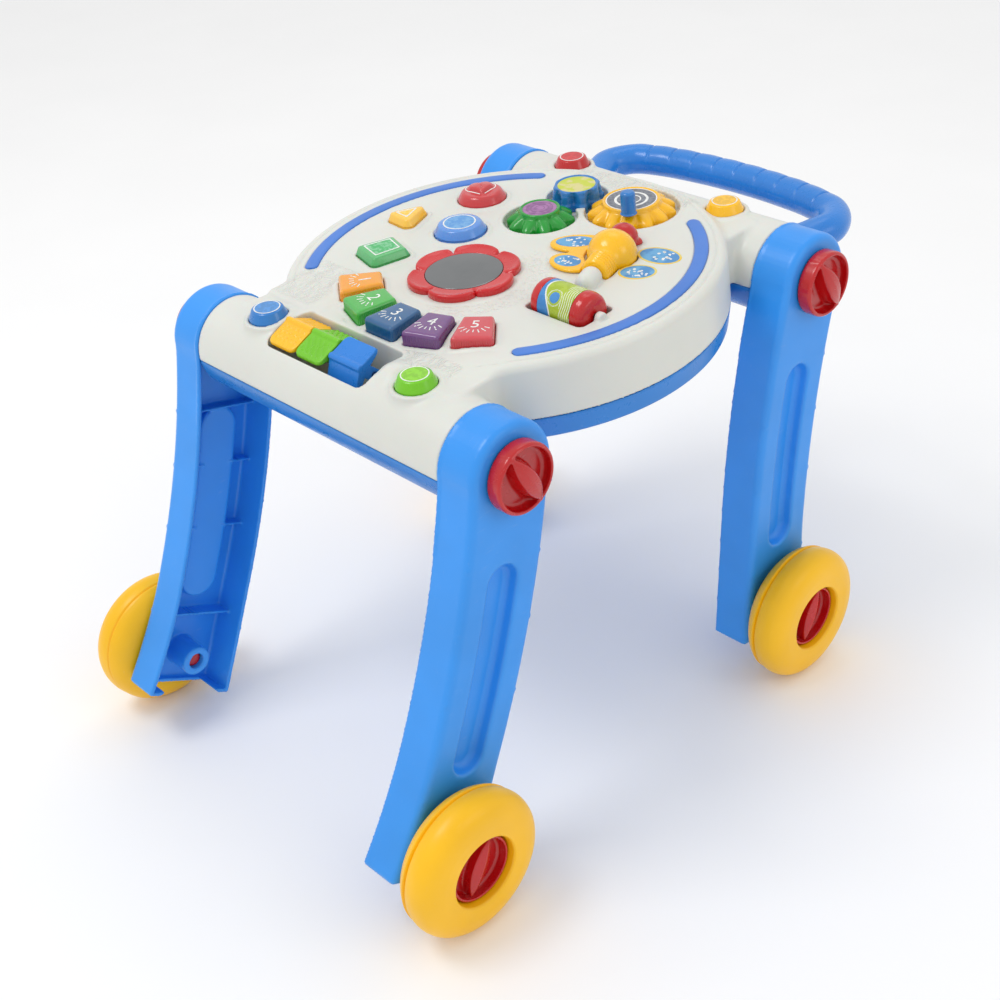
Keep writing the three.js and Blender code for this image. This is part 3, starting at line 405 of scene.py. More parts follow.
def solid(f, lo, hi, h, project=3, margin=1.25, keep_big=True):
    """a closed quad mesh of the surface f = 0: sparse sampling, dual vertices, then a walk onto the true surface"""
    B = 6
    lo = np.array(lo, float) - 2.1 * h
    hi = np.array(hi, float) + 2.1 * h
    nb = np.ceil((hi - lo) / (B * h)).astype(int)
    n = nb * B + 1
    ci = np.stack(np.meshgrid(*[np.arange(k) for k in nb], indexing="ij"), -1).reshape(-1, 3)
    cc = lo + (ci + 0.5) * B * h
    fc = f(cc[:, 0], cc[:, 1], cc[:, 2])
    V = np.repeat(np.repeat(np.repeat(np.where(fc < 0, -1e3, 1e3).reshape(nb).astype(F32), B, 0), B, 1), B, 2)
    V = np.pad(V, ((0, 1), (0, 1), (0, 1)), mode="edge")
    act = ci[np.abs(fc) < 0.87 * B * h * margin + 0.5 * h]
    o = np.stack(np.meshgrid(*[np.arange(B + 1)] * 3, indexing="ij"), -1).reshape(-1, 3)
    step = max(1, 1200000 // len(o))
    for s in range(0, len(act), step):
        idx = (act[s:s + step, None, :] * B + o[None]).reshape(-1, 3)
        p = lo + idx * h
        V[idx[:, 0], idx[:, 1], idx[:, 2]] = f(p[:, 0], p[:, 1], p[:, 2])
    inside = V < 0
    cnt = np.zeros(tuple(n - 1), np.int8)
    for a in (0, 1):
        for b in (0, 1):
            for c in (0, 1):
                cnt += inside[a:n[0] - 1 + a, b:n[1] - 1 + b, c:n[2] - 1 + c]
    cells = np.argwhere((cnt > 0) & (cnt < 8))
    vid = np.full(tuple(n - 1), -1, np.int32)
    vid[cells[:, 0], cells[:, 1], cells[:, 2]] = np.arange(len(cells))
    acc = np.zeros((len(cells), 3))
    num = np.zeros(len(cells))
    for a, b in EDGES:
        a, b = np.array(a), np.array(b)
        A, Bc = cells + a, cells + b
        va, vb = V[A[:, 0], A[:, 1], A[:, 2]].astype(float), V[Bc[:, 0], Bc[:, 1], Bc[:, 2]].astype(float)
        m = (va < 0) != (vb < 0)
        t = np.clip(va[m] / (va[m] - vb[m]), 0.02, 0.98)
        acc[m] += A[m] + t[:, None] * (b - a)
        num[m] += 1
    P = lo + acc / num[:, None] * h
    quads = []
    for ax in range(3):
        u, w = (ax + 1) % 3, (ax + 2) % 3
        sl = [slice(None)] * 3
        s2 = [slice(None)] * 3
        sl[ax], s2[ax] = slice(0, -1), slice(1, None)
        d = inside[tuple(sl)] != inside[tuple(s2)]
        e = np.argwhere(d)
        e = e[(e[:, u] > 0) & (e[:, w] > 0) & (e[:, u] < n[u] - 1) & (e[:, w] < n[w] - 1)]
        first = inside[e[:, 0], e[:, 1], e[:, 2]]
        ring = []
        for du, dw in ((-1, -1), (0, -1), (0, 0), (-1, 0)):
            q = e.copy()
            q[:, u] += du
            q[:, w] += dw
            ring.append(vid[q[:, 0], q[:, 1], q[:, 2]])
        q = np.stack(ring, 1)
        q[~first] = q[~first][:, ::-1]
        quads.append(q)
    Q = np.concatenate(quads)
    Q = Q[(Q >= 0).all(1)]
    P0 = P.copy()
    e = 0.06 * h
    for _ in range(project):
        x, y, z = P[:, 0], P[:, 1], P[:, 2]
        v = f(x, y, z)
        g = np.stack([f(x + e, y, z) - f(x - e, y, z), f(x, y + e, z) - f(x, y - e, z), f(x, y, z + e) - f(x, y, z - e)], 1) / (2 * e)
        g2 = np.maximum((g * g).sum(1), 0.2)
        P = P - np.clip(v / g2, -0.4 * h, 0.4 * h)[:, None] * g
        dlt = P - P0
        l = np.linalg.norm(dlt, axis=1)
        over = l > 0.75 * h
        P[over] = P0[over] + dlt[over] * (0.75 * h / l[over])[:, None]
    return P, Q


def loft(rings, cap0=True, cap1=True):
    """rings: list of (k,3) closed loops -> closed solid; faces run outward for counter-clockwise loops stacked upwards"""
    k = len(rings[0])
    v = [np.asarray(r, float) for r in rings]
    faces = []
    for i in range(len(rings) - 1):
        a, b = i * k, (i + 1) * k
        for j in range(k):
            j2 = (j + 1) % k
            faces.append((a + j, a + j2, b + j2, b + j))
    pts = np.concatenate(v)
    if cap0:
        c = len(pts)
        pts = np.vstack([pts, v[0].mean(0)])
        faces += [(c, (j + 1) % k, j) for j in range(k)]
    if cap1:
        c = len(pts)
        pts = np.vstack([pts, v[-1].mean(0)])
        a = (len(rings) - 1) * k
        faces += [(c, a + j, a + (j + 1) % k) for j in range(k)]
    return pts, faces


def lathe(profile, n=96):
    """profile: [(r, z)...] from the axis up to the axis (or closed); returns verts, faces about z"""
    prof = [(max(0.0, r), z) for r, z in profile]
    ang = np.arange(n) * 2 * math.pi / n
    verts, idx = [], []
    for r, z in prof:
        if r < 1e-6:
            idx.append([len(verts)] * n)
            verts.append((0, 0, z))
        else:
            idx.append(list(range(len(verts), len(verts) + n)))
            verts += [(r * math.cos(a), r * math.sin(a), z) for a in ang]
    faces = []
    seg = []
    for i in range(len(prof) - 1):
        A, Bq = idx[i], idx[i + 1]
        for j in range(n):
            j2 = (j + 1) % n
            f = [A[j], A[j2], Bq[j2], Bq[j]]
            g = []
            for t in f:
                if t not in g:
                    g.append(t)
            if len(g) >= 3:
                faces.append(tuple(g))
                seg.append(i)
    return np.array(verts, float), faces, np.array(seg)


def lathe_closed(profile, n=96):
    prof = list(profile)
    ang = np.arange(n) * 2 * math.pi / n
    k = len(prof)
    v = np.array([(r * math.cos(a), r * math.sin(a), z) for r, z in prof for a in ang])
    faces = []
    for i in range(k):
        i2 = (i + 1) % k
        for j in range(n):
            j2 = (j + 1) % n
            faces.append((i * n + j, i * n + j2, i2 * n + j2, i2 * n + j))
    return v, np.array(faces)


def fillet(pts, r, n=5, closed=False):
    """round the inner corners of an open (or closed) 2-D polyline"""
    P = [np.array(p, float) for p in pts]
    out = []
    K = len(P)
    rs = r if isinstance(r, (list, tuple)) else [r] * K
    for i in range(K):
        if not closed and i in (0, K - 1):
            out.append(P[i])
            continue
        p, a, b = P[i], P[i - 1], P[(i + 1) % K]
        u, v = a - p, b - p
        lu, lv = np.linalg.norm(u), np.linalg.norm(v)
        u, v = u / lu, v / lv
        cs = float(np.clip(u @ v, -1, 1))
        ang = math.acos(cs)
        if rs[i] <= 0 or ang > math.pi - 0.02:
            out.append(p)
            continue
        t = min(rs[i] / math.tan(ang / 2), 0.48 * lu, 0.48 * lv)
        rr = t * math.tan(ang / 2)
        w = u + v
        w = w / np.linalg.norm(w)
        c = p + w * rr / math.sin(ang / 2)
        s, e = p + u * t, p + v * t
        a0 = math.atan2(*(s - c)[::-1])
        a1 = math.atan2(*(e - c)[::-1])
        da = (a1 - a0 + math.pi) % (2 * math.pi) - math.pi
        for q in range(n + 1):
            th = a0 + da * q / n
            out.append(c + rr * np.array([math.cos(th), math.sin(th)]))
    return out


def inset_poly(pts, d):
    """move every side of a convex counter-clockwise polygon inwards by d"""
    P = np.array(pts, float)
    k = len(P)
    out = []
    for i in range(k):
        a, p, b = P[i - 1], P[i], P[(i + 1) % k]
        u, v = p - a, b - p
        n1 = np.array([-u[1], u[0]]) / np.linalg.norm(u)
        n2 = np.array([-v[1], v[0]]) / np.linalg.norm(v)
        m = n1 + n2
        m = m / np.linalg.norm(m)
        out.append(p + m * d / max(0.2, m @ n1))
    return out


def outline(pts, r, d=0.0, n=10, dense=0):
    """rounded convex outline, inset by d; always the same point count for lofting"""
    q = inset_poly(pts, d) if abs(d) > 1e-9 else [np.array(p, float) for p in pts]
    o = np.array(fillet(q, max(r - d, 0.9), n, closed=True))
    return o


def resample(P, n):
    P = np.asarray(P, float)
    C = np.vstack([P, P[:1]])
    s = np.concatenate([[0], np.cumsum(np.linalg.norm(np.diff(C, axis=0), axis=1))])
    t = np.linspace(0, s[-1], n, endpoint=False)
    return np.stack([np.interp(t, s, C[:, 0]), np.interp(t, s, C[:, 1])], 1)


def offs(P, d):
    """offset a dense smooth closed counter-clockwise loop outwards by d"""
    P = np.asarray(P, float)
    t = np.roll(P, -1, 0) - np.roll(P, 1, 0)
    n = np.stack([t[:, 1], -t[:, 0]], 1)
    n /= np.linalg.norm(n, axis=1)[:, None]
    return P + n * d


def at_z(P, z):
    z = np.full(len(P), z, float) if np.isscalar(z) else z
    return np.column_stack([P, z])


def circle(cx, cy, r, n=96, ph=0.0):
    a = ph + np.arange(n) * 2 * math.pi / n
    return np.stack([cx + r * np.cos(a), cy + r * np.sin(a)], 1)


def arc_profile(z0, z1, r, n=6):
    """(inset, z) pairs for a wall from z0 to z1 with a rounded top edge of radius r"""
    out = [(0.0, z0), (0.0, z1 - r)]
    for i in range(1, n + 1):
        a = math.pi / 2 * i / n
        out.append((r * (1 - math.cos(a)), z1 - r + r * math.sin(a)))
    return out


def sticker(name, P, z, thick, mat, body, slot, conv=world_of, dome=None):
    """thin printed plate with its own small edge, lying on a face"""
    c = P.mean(0)
    zf = (lambda q: np.full(len(q), z)) if dome is None else dome
    r = [at_z(P, zf(P) - 0.25), at_z(P, zf(P) + thick * 0.6), at_z(c + (P - c) * (1 - 0.25 / max(4, np.abs(P - c).max())), zf(P) + thick)]
    for k in (0.75, 0.5, 0.25):
        q = c + (P - c) * k
        r.append(at_z(q, zf(q) + thick))
    v, f = loft(r)
    return make(name, v, f, mat, body, None, slot, conv, sharp=40)


def ribbon(name, Po, Pi, z, thick, mat, body, slot, dome=None):
    """thin printed line between two loops"""
    zf = (lambda q: np.full(len(q), z)) if dome is None else dome
    rings = [at_z(Po, zf(Po) - 0.25), at_z(Po, zf(Po) + thick), at_z(Pi, zf(Pi) + thick), at_z(Pi, zf(Pi) - 0.25)]
    k = len(Po)
    v = np.concatenate(rings)
    f = []
    for i in range(4):
        i2 = (i + 1) % 4
        for j in range(k):
            j2 = (j + 1) % k
            f.append((i * k + j, i * k + j2, i2 * k + j2, i2 * k + j))
    return make(name, v, np.array(f), mat, body, None, slot, sharp=40)


HS = 1.35

# ------------------------------------------------------------------ shared plan of the play body
GG, GB, GY = (-25.5, 70.0), (-29.5, 120.2), (29.0, 126.0)
DRUM = (105.6, -32.9, 45.0)
FLY = (76.5, 49.0, 47.0)
FA = math.radians(109.3)
FD = (math.cos(FA), math.sin(FA))
FAN = (12.0, -17.0)
TRI = [(-138.5, -10.5), (-101.5, -13.5), (-117.5, 28.5)]
SQR = [(-108.5, -69.5), (-72.5, -79), (-63.8, -44.5), (-95.5, -34.5)]
RND, HRT = (-63.5, 11.5), (-98.0, 70.0)
STRIPS = [("rim_strip_right", -40.0, 56.0), ("rim_strip_left", 124.0, 220.0)]
FLYP = [(0, 19.5), (7, 19.5), (15.2, 13.8), (19.4, 6.8), (20.5, 0), (19, -8.5), (15.4, -14.2), (12.2, -18.5), (11.6, -30), (10.4, -36), (0, -36)]


def fly_sw(x, y):
    ux, uy = x - FLY[0], y - FLY[1]
    return ux * FD[0] + uy * FD[1], -ux * FD[1] + uy * FD[0]


def fly_d(x, y, z, e=0.0):
    s, w = fly_sw(x, y)
    r = np.hypot(w, z - FLY[2])
    pts = [(-a, b) for a, b in FLYP[1:-1]][::-1] + list(FLYP[1:-1])
    return poly(r, s, [(p[0], p[1]) for p in pts[::-1]]) - e


def key_poly(i):
    a = math.radians(-90 + (i - 2) * 18.5)
    u = np.array([math.cos(a), math.sin(a)])
    v = np.array([-u[1], u[0]])
    c = np.array(FAN)
    return [c + u * 93.5 - v * 12.25, c + u * 129.5 - v * 17.0, c + u * 129.5 + v * 17.0, c + u * 93.5 + v * 12.25], u, v


def arc_d(x, y, r0, r1, a0, a1):
    rm, w = (r0 + r1) / 2, (r1 - r0) / 2
    am = math.radians((a0 + a1) / 2)
    half = math.radians((a1 - a0) / 2)
    th = np.arctan2(-x * math.sin(am) + y * math.cos(am), x * math.cos(am) + y * math.sin(am))
    tc = np.clip(th, -half, half)
    px, py = rm * np.cos(tc + am), rm * np.sin(tc + am)
    return np.hypot(x - px, y - py) - w


def top_height(y):
    return 44.0 - 5.2 * sstep(-y, 116.0, 150.0)


def f_top_solid(x, y, z):
    rho = np.hypot(x, y)
    side = rho - (184.0 - 0.045 * (z + 2))
    H = top_height(y)
    disc = rext(side, span(z, -30.0, H), 6.5)
    # shallow stepped line just inside the rim shoulder
    disc = smax(disc, -(rext(np.abs(rho - 173.4) - 0.7, H - 0.9 - z, 0.5)), 0.9)
    bar = np.full(x.shape, 1e3)
    for s in (-1, 1):
        b = rext(np.hypot(y - s * BY, z) - 38.5, np.abs(x) - 146.6, 1.6)
        bar = np.minimum(bar, b)
    br = np.minimum(rext(rbox(x, y, 0, -137.8, 126, 38, 10), span(z, -30, 38.6), 3.0), rext(rbox(x, y, 0, 137.8, 126, 38, 10), span(z, -30, 38.8), 3.0))
    lower = smin(bar, br, 6.0)
    f = smin(disc, lower, 5.0)
    # low stepped table at the near left and right of the keys
    f = smin(f, rext(rbox(x, y, -92, -118, 34, 34, 8), span(z, -30, 40.6), 2.0), 2.5)
    # collars of the corner buttons
    for sx in (-1, 1):
        for sy in (-1, 1):
            f = smin(f, rext(np.hypot(x - sx * 89, y - sy * 176) - 20.5, span(z, 20, 39.6), 1.2), 3.5)
    # bearing bulges at both ends of the flip pocket
    for x0, x1 in ((-88.0, -71.0), (52.0, 70.0)):
        f = smin(f, rext(np.hypot(y + 172.5, z - 26.5) - 17.2, span(x, x0, x1), 7.0), 5.0)
    # raised lips round the shaped buttons, keys and flower
    lip = np.hypot(x - RND[0], y - RND[1]) - 26.4
    lip = np.minimum(lip, np.hypot(x - HRT[0], y - HRT[1]) - 25.4)
    lip = np.minimum(lip, poly(x, y, outline(TRI, 6, 0, 5)) - 4.2)
    lip = np.minimum(lip, poly(x, y, outline(SQR, 5, 0, 5)) - 4.2)
    f = smin(f, rext(lip, span(z, 20, 45.3), 1.0), 1.8)
    kd = np.full(x.shape, 1e3)
    for i in range(5):
        kd = np.minimum(kd, poly(x, y, outline(key_poly(i)[0], 3, 0, 2)))
    f = smin(f, rext(kd - 3.6, np.maximum(20 - z, z - (H + 1.1)), 0.9), 1.8)
    f = smin(f, rext(np.hypot(x, y + 43.5) - 49.5, span(z, 20, 44.7), 0.6), 1.2)
    # gear pockets, with their hub posts
    g = np.minimum(np.minimum(np.hypot(x - GG[0], y - GG[1]) - 32.2, np.hypot(x - GB[0], y - GB[1]) - 26.8), np.hypot(x - GY[0], y - GY[1]) - 40.8)
    f = smin(f, rext(g - 3.2, span(z, 20, 44.9), 0.9), 1.6)
    f = smax(f, -rext(g, 37.0 - z, 1.2), 1.0)
    for c in (GG, GB, GY):
        f = np.minimum(f, rext(np.hypot(x - c[0], y - c[1]) - 4.5, span(z, 30, 44.8), 0.6))
    # roller trough and its two ears
    dx, dy, dz = DRUM
    f = smax(f, -rext(rbox(x, y, dx, dy, 30.5, 18.8, 5), 25.8 - z, 2.5), 1.4)
    for s in (-1, 1):
        xe = dx + s * 33.5
        ear = rext(np.minimum(np.hypot(y - dy, z - dz) - 4.7, rbox(y, z, dy, dz - 10, 4.7, 10, 1)), np.abs(x - xe) - 3.0, 1.4)
        f = smin(f, ear, 1.6)
    # spinner trough and the tail bearing
    s_, w_ = fly_sw(x, y)
    tb = np.hypot(np.hypot(w_, z - FLY[2]), s_ - np.clip(s_, -53.0, -42.5)) - (8.7 + 0.0 * s_)
    f = smin(f, np.maximum(tb, 42.0 - z), 2.4)
    f = smax(f, -fly_d(x, y, z, 1.1), 0.9)
    # flip pocket
    f = smax(f, -rext(rbox(x, y, -9.5, -174.25, 59.5, 23.25, 7.0), 0.4 - z, 0.5), 0.7)
    # strip grooves
    for _, a0, a1 in STRIPS:
        f = smax(f, -np.maximum(arc_d(x, y, 155.4, 167.4, a0, a1), 42.7 - z), 0.35)
    return f


def f_top(x, y, z):
    s = f_top_solid(x, y, z)
    f = np.maximum(s, -(s + 2.6))
    hole = np.full(x.shape, 1e3)
    for sx in (-1, 1):
        for sy in (-1, 1):
            hole = np.minimum(hole, np.maximum(np.hypot(x - sx * 89, y - sy * 176) - 16.5, 20 - z))
    sh = np.hypot(x - RND[0], y - RND[1]) - 22.9
    sh = np.minimum(sh, np.hypot(x - HRT[0], y - HRT[1]) - 21.9)
    sh = np.minimum(sh, poly(x, y, outline(TRI, 6, 0, 5)) - 0.4)
    sh = np.minimum(sh, poly(x, y, outline(SQR, 5, 0, 5)) - 0.4)
    for i in range(5):
        sh = np.minimum(sh, poly(x, y, outline(key_poly(i)[0], 3, 0, 2)) - 0.4)
    hole = np.minimum(hole, np.maximum(sh, 30 - z))
    f = smax(f, -hole, 0.7)
    for s_ in (-1, 1):
        f = np.maximum(f, -np.maximum(np.hypot(y - s_ * BY, z) - 8.7, 130 - np.abs(x)))
    f = np.maximum(f, -np.maximum(np.hypot(np.abs(x) - 116, z + 3) - 16.6, 187 - y))
    dx, dy, dz = DRUM
    f = np.maximum(f, -np.maximum(np.hypot(y - dy, z - dz) - 2.4, np.abs(x - dx) - 34.5))
    f = np.maximum(f, -np.maximum(np.hypot(y + 172.5, z - 26.5) - 2.4, np.abs(x + 9.5) - 62.0))
    return np.maximum(f, SEAM - z)


def relief_attrs(v):
    x, y, z = v[:, 0], v[:, 1], v[:, 2]
    up = sstep(z, 37.0, 38.4)
    zone = np.maximum(-rbox(x, y, -98, -118, 26, 30, 6), -rbox(x, y, 34, -152, 70, 13, 6))
    zone = np.maximum(zone, -rbox(x, y, 0, 162, 66, 13, 6))
    grass = sstep(zone, 0.0, 2.5) * up
    kd = np.full(x.shape, 1e3)
    for i in range(5):
        kd = np.minimum(kd, poly(x, y, outline(key_poly(i)[0], 3, 0, 2)))
    grass *= sstep(kd, 4.5, 6.0)
    grass *= sstep(np.minimum(np.hypot(x - 89, y + 176), np.hypot(x + 89, y + 176)), 21.0, 24.0)
    grass *= sstep(rbox(x, y, -9.5, -174.25, 59.5, 23.25, 7.0), 2.0, 4.0)
    ring = np.hypot(x, y + 43.5)
    st = sstep(ring, 50.5, 52.0) * (1 - sstep(ring, 66.0, 74.0)) * sstep(z, 43.2, 43.8) * sstep(x, 5.0, 25.0)
    st *= sstep(np.abs(rbox(x, y, DRUM[0], DRUM[1], 34, 22, 5)), 0.5, 2.0)
    return {"relief": grass, "stipple": st}


v, q = solid(f_top, (-184, -215, -2), (184, 215, 60), HS)
make("top_cover", v, q, "white", "chassis", "top_shell", "white", attrs=relief_attrs(v))


# ------------------------------------------------------------------ blue base
def f_base(x, y, z):
    rho = np.hypot(x, y)
    disc = rext(rho - (184.0 + 0.12 * (z + 2.3)), span(z, -21.0, 30.0), 3.0)
    f = disc
    for s in (-1, 1):
        f = smin(f, rext(np.hypot(y - s * BY, z) - 38.5, np.abs(x) - 146.6, 1.6), 4.0)
    bay = np.maximum(rbox(x, y, 0, 0, 38.9, 35.9, 2.0), z + 19.5)
    bay2 = np.maximum(rbox(x, y, 0, 0, 34.8, 31.8, 2.0), z - 0.0)
    f = np.maximum(f, -bay)
    s = f
    f = np.maximum(s, -(s + 2.6))
    f = np.maximum(f, z + 2.3)
    wall = np.maximum(rbox(x, y, 0, 0, 37.4, 34.4, 3.0), span(z, -20.0, 2.2))
    f = np.minimum(f, wall)
    f = np.maximum(f, -bay2)
    f = np.minimum(f, np.maximum(np.hypot(x, y - 41) - 4.2, span(z, -20, -10)))
    f = np.maximum(f, -np.maximum(np.hypot(x, y - 41) - 1.8, z + 12))
    for k in (-2, -1, 0, 1, 2):
        hw = math.sqrt(22 * 22 - k * k * 64)
        f = np.maximum(f, -np.maximum(rbox(x, y, -90, k * 8, hw, 1.6, 1.5), z + 17))
    for (px, py) in ((-125, 20), (-50, 100), (55, -100), (60, 60)):
        f = np.minimum(f, np.maximum(np.hypot(x - px, y - py) - 3.3, span(z, -20, 5.6)))
    for s_ in (-1, 1):
        f = np.maximum(f, -np.maximum(np.hypot(y - s_ * BY, z) - 8.7, 130 - np.abs(x)))
    return np.maximum(f, -np.maximum(np.hypot(np.abs(x) - 116, z + 3) - 16.6, 187 - y))


v, q = solid(f_base, (-184, -215, -39), (184, 215, 6), HS * 1.15)
make("base_tray", v, q, "blue", "chassis", "bottom_shell", "blue")

# ------------------------------------------------------------------ handle
HP = [(-116, 190), (-116, 206), (-117.5, 224), (-126, 248), (-131, 268), (-118, 291), (-88, 302), (-45, 308), (0, 310), (45, 308), (88, 302), (118, 291), (131, 268), (126, 248), (117.5, 224), (116, 206), (116, 190)]


def catmull(P, per=14):
    P = np.array(P, float)
    out = []
    for i in range(len(P) - 1):
        p0 = P[i - 1] if i else 2 * P[0] - P[1]
        p1, p2 = P[i], P[i + 1]
        p3 = P[i + 2] if i + 2 < len(P) else 2 * P[-1] - P[-2]
        t0 = 0.0
        t1 = t0 + np.linalg.norm(p1 - p0) ** 0.5
        t2 = t1 + np.linalg.norm(p2 - p1) ** 0.5
        t3 = t2 + np.linalg.norm(p3 - p2) ** 0.5
        for t in np.linspace(t1, t2, per, endpoint=False):
            a1 = (t1 - t) / (t1 - t0) * p0 + (t - t0) / (t1 - t0) * p1
            a2 = (t2 - t) / (t2 - t1) * p1 + (t - t1) / (t2 - t1) * p2
            a3 = (t3 - t) / (t3 - t2) * p2 + (t - t2) / (t3 - t2) * p3
            b1 = (t2 - t) / (t2 - t0) * a1 + (t - t0) / (t2 - t0) * a2
            b2 = (t3 - t) / (t3 - t1) * a2 + (t - t1) / (t3 - t1) * a3
            out.append((t2 - t) / (t2 - t1) * b1 + (t - t1) / (t2 - t1) * b2)
    out.append(P[-1])
    return np.array(out)


C = catmull(HP, 60)
s = np.concatenate([[0], np.cumsum(np.linalg.norm(np.diff(C, axis=0), axis=1))])
ns = 760
t = np.linspace(0, s[-1], ns)
C = np.stack([np.interp(t, s, C[:, 0]), np.interp(t, s, C[:, 1])], 1)
C[:, 1] = np.maximum(C[:, 1], 192.2 + 0 * C[:, 1])
T_ = np.gradient(C, axis=0)
T_ /= np.linalg.norm(T_, axis=1)[:, None]
Nn = np.stack([-T_[:, 1], T_[:, 0]], 1)
L = t[-1]
rings = []
M = 56
th = np.arange(M) * 2 * math.pi / M
mid = L / 2
for i in range(ns):
    d = abs(t[i] - mid)
    grip = 1 - sstep(np.array(d), 112.0, 128.0)
    arm = sstep(np.array(d), 150.0, 180.0)
    ra, rb = 14.7, 14.4 - 2.2 * arm * (1 - sstep(np.array(d), 196.0, 210.0))
    up = np.clip(np.sin(th) * 0.75 + np.cos(th) * 0.55 + 0.25, 0, 1) ** 0.6
    g = 0.0
    for k in range(-4, 5):
        g += math.exp(-((t[i] - mid - k * 25.5) / 1.15) ** 2)
    rr = 1 - (0.095 * min(1.0, g)) * up * grip
    bul = -0.35 * math.cos(2 * math.pi * (t[i] - mid) / 25.5) * up * grip
    part = 0.35 * np.exp(-((np.sin(th) + 0.12) / 0.035) ** 2) * (np.cos(th) < 0)
    a = (ra * rr + bul * 0.6 - part) * np.cos(th)
    b = (rb * rr + bul * 0.6) * np.sin(th)
    # cos direction: +1 is the outside of the bend (away from the table at the grip)
    rings.append(np.column_stack([C[i, 0] + Nn[i, 0] * a, C[i, 1] + Nn[i, 1] * a, -3 + b]))
v, f = loft(rings[::-1])
make("push_handle", v, f, "handle", "chassis", "handle", "blue")

# ------------------------------------------------------------------ legs
LEGP = {"front": ([(0, 0), (24, 155), (113.5, 314)], -1, (97.9, -1)), "rear": ([(0, 0), (-44, 150), (-37, 333)], 1, (-36.9, 1))}


def bez(P, t):
    t = np.asarray(t, float)[..., None]
    P = [np.array(p, float) for p in P]
    return (1 - t) ** 2 * P[0] + 2 * t * (1 - t) * P[1] + t * t * P[2]


def make_leg(which):
    P, out, _ = LEGP[which]
    axy, axz = AX[which]
    hub = np.array([LEGP[which][2][0], axz - 61.3])
    n = 26
    tt = np.arange(1, n + 1) / n
    c = bez(P, tt)
    d = bez(P, np.minimum(1, tt + 0.01)) - bez(P, np.maximum(0, tt - 0.01))
    d /= np.linalg.norm(d, axis=1)[:, None]
    w = 38.2 + 5.2 * np.maximum(0, (tt - 0.72) / 0.28) ** 1.6
    left = np.stack([c[:, 0] + d[:, 1] * w, c[:, 1] - d[:, 0] * w], 1)
    right = np.stack([c[:, 0] - d[:, 1] * w, c[:, 1] + d[:, 0] * w], 1)
    b0 = math.atan2(right[0][1], right[0][0])
    b1 = math.atan2(left[0][1], left[0][0])
    s0, e0 = b0 + 0.12, b1 - 0.12
    while e0 < s0:
        e0 += 2 * math.pi
    arc = [(39.2 * math.cos(a), 39.2 * math.sin(a)) for a in np.linspace(s0, e0, 30)]
    ol = arc + [tuple(p) for p in left] + [tuple(p) for p in right[::-1]]
    cen = bez(P, np.linspace(0.275, 0.705, 10))
    E, E0 = bez(P, [1.0])[0], bez(P, [0.97])[0]
    ed = (E - E0) / np.linalg.norm(E - E0)
    Ac = E + ed * 50
    rib_t = [0.22, 0.38, 0.56, 0.80]
    rc = bez(P, rib_t)
    rd = bez(P, np.array(rib_t) + 0.01) - bez(P, np.array(rib_t) - 0.01)
    rd /= np.linalg.norm(rd, axis=1)[:, None]

    def f(x, y, z):
        # x: outwards from the table; y: outward*down plane given as (o, dn)
        o, dn = y, z
        d2 = poly(o, dn, ol)
        body = rext(d2, span(x, 120.0, 184.0), 6.0)
        flange = rext(d2 - 0.7, span(x, 147.0, 149.6), 0.6)
        flange = np.maximum(flange, dn - 60)
        body = smin(body, flange, 0.8)
        gd = np.full(x.shape, 1e9)
        for i in range(len(cen) - 1):
            a, b = cen[i], cen[i + 1]
            e = b - a
            t_ = np.clip(((o - a[0]) * e[0] + (dn - a[1]) * e[1]) / (e @ e), 0, 1)
            gd = np.minimum(gd, np.hypot(o - a[0] - e[0] * t_, dn - a[1] - e[1] * t_))
        groove = rext(gd - (12.6 + 0.28 * np.clip(x - 174.0, 0, 10)), 174.0 - x, 4.0)
        body = smax(body, -groove, 2.2)
        cav = rext(d2 + 3.2, x - 181.0, 3.0)
        f_ = smax(body, -cav, 0.8)
        wall = np.maximum(rext(gd - 18.6, span(x, 171.2, 182.8), 2.5), -groove)
        f_ = smin(f_, wall, 1.2)
        bosses = np.minimum(np.maximum(np.hypot(o - hub[0], dn - hub[1]) - 13.5, span(x, 151, 183)), np.maximum(np.hypot(o, dn) - 13.0, span(x, 148.5, 183)))
        for k in range(len(rib_t)):
            a_, b_ = (o - rc[k][0]) * rd[k][0] + (dn - rc[k][1]) * rd[k][1], np.maximum(d2 + 1.2, 0)
            rib = np.maximum(np.abs(a_) - 1.0, np.maximum(d2 + 1.5, span(x, 170.0 - (6 if k == 3 else 0), 183.0)))
            rib = np.maximum(rib, -(gd - 13.2) if k in (1, 2) else rib)
            bosses = np.minimum(bosses, rib)
        f_ = smin(f_, bosses, 1.6)
        f_ = np.maximum(f_, -groove)
        f_ = np.maximum(f_, -(np.maximum(np.hypot(o - Ac[0], dn - Ac[1]) - 59.5, x - 175.0)))
        f_ = np.maximum(f_, -(np.hypot(o - hub[0], dn - hub[1]) - 7.3))
        f_ = np.maximum(f_, -(np.hypot(o, dn) - 8.5))
        return np.maximum(f_, 147.0 - x)

    lo_o, hi_o = min(p[0] for p in ol), max(p[0] for p in ol)
    v, q = solid(f, (147, lo_o, min(p[1] for p in ol)), (184, hi_o, max(p[1] for p in ol)), 1.7)
    for side, sx in (("right", 1), ("left", -1)):
        w_ = np.stack([sx * v[:, 0], axy + out * v[:, 1], axz - v[:, 2]], 1)
        flip = sx * out * -1 < 0
        qq = q[:, ::-1] if flip else q
        make(f"leg_shell_{which}_{side}", w_, qq, "leg", f"leg_{which}_{side}", f"leg_{which}_{side}", "blue", stand_of)


make_leg("front")
make_leg("rear")

# ------------------------------------------------------------------ wheels, axle caps and knobs
WI, WO = 185.2, 229.0


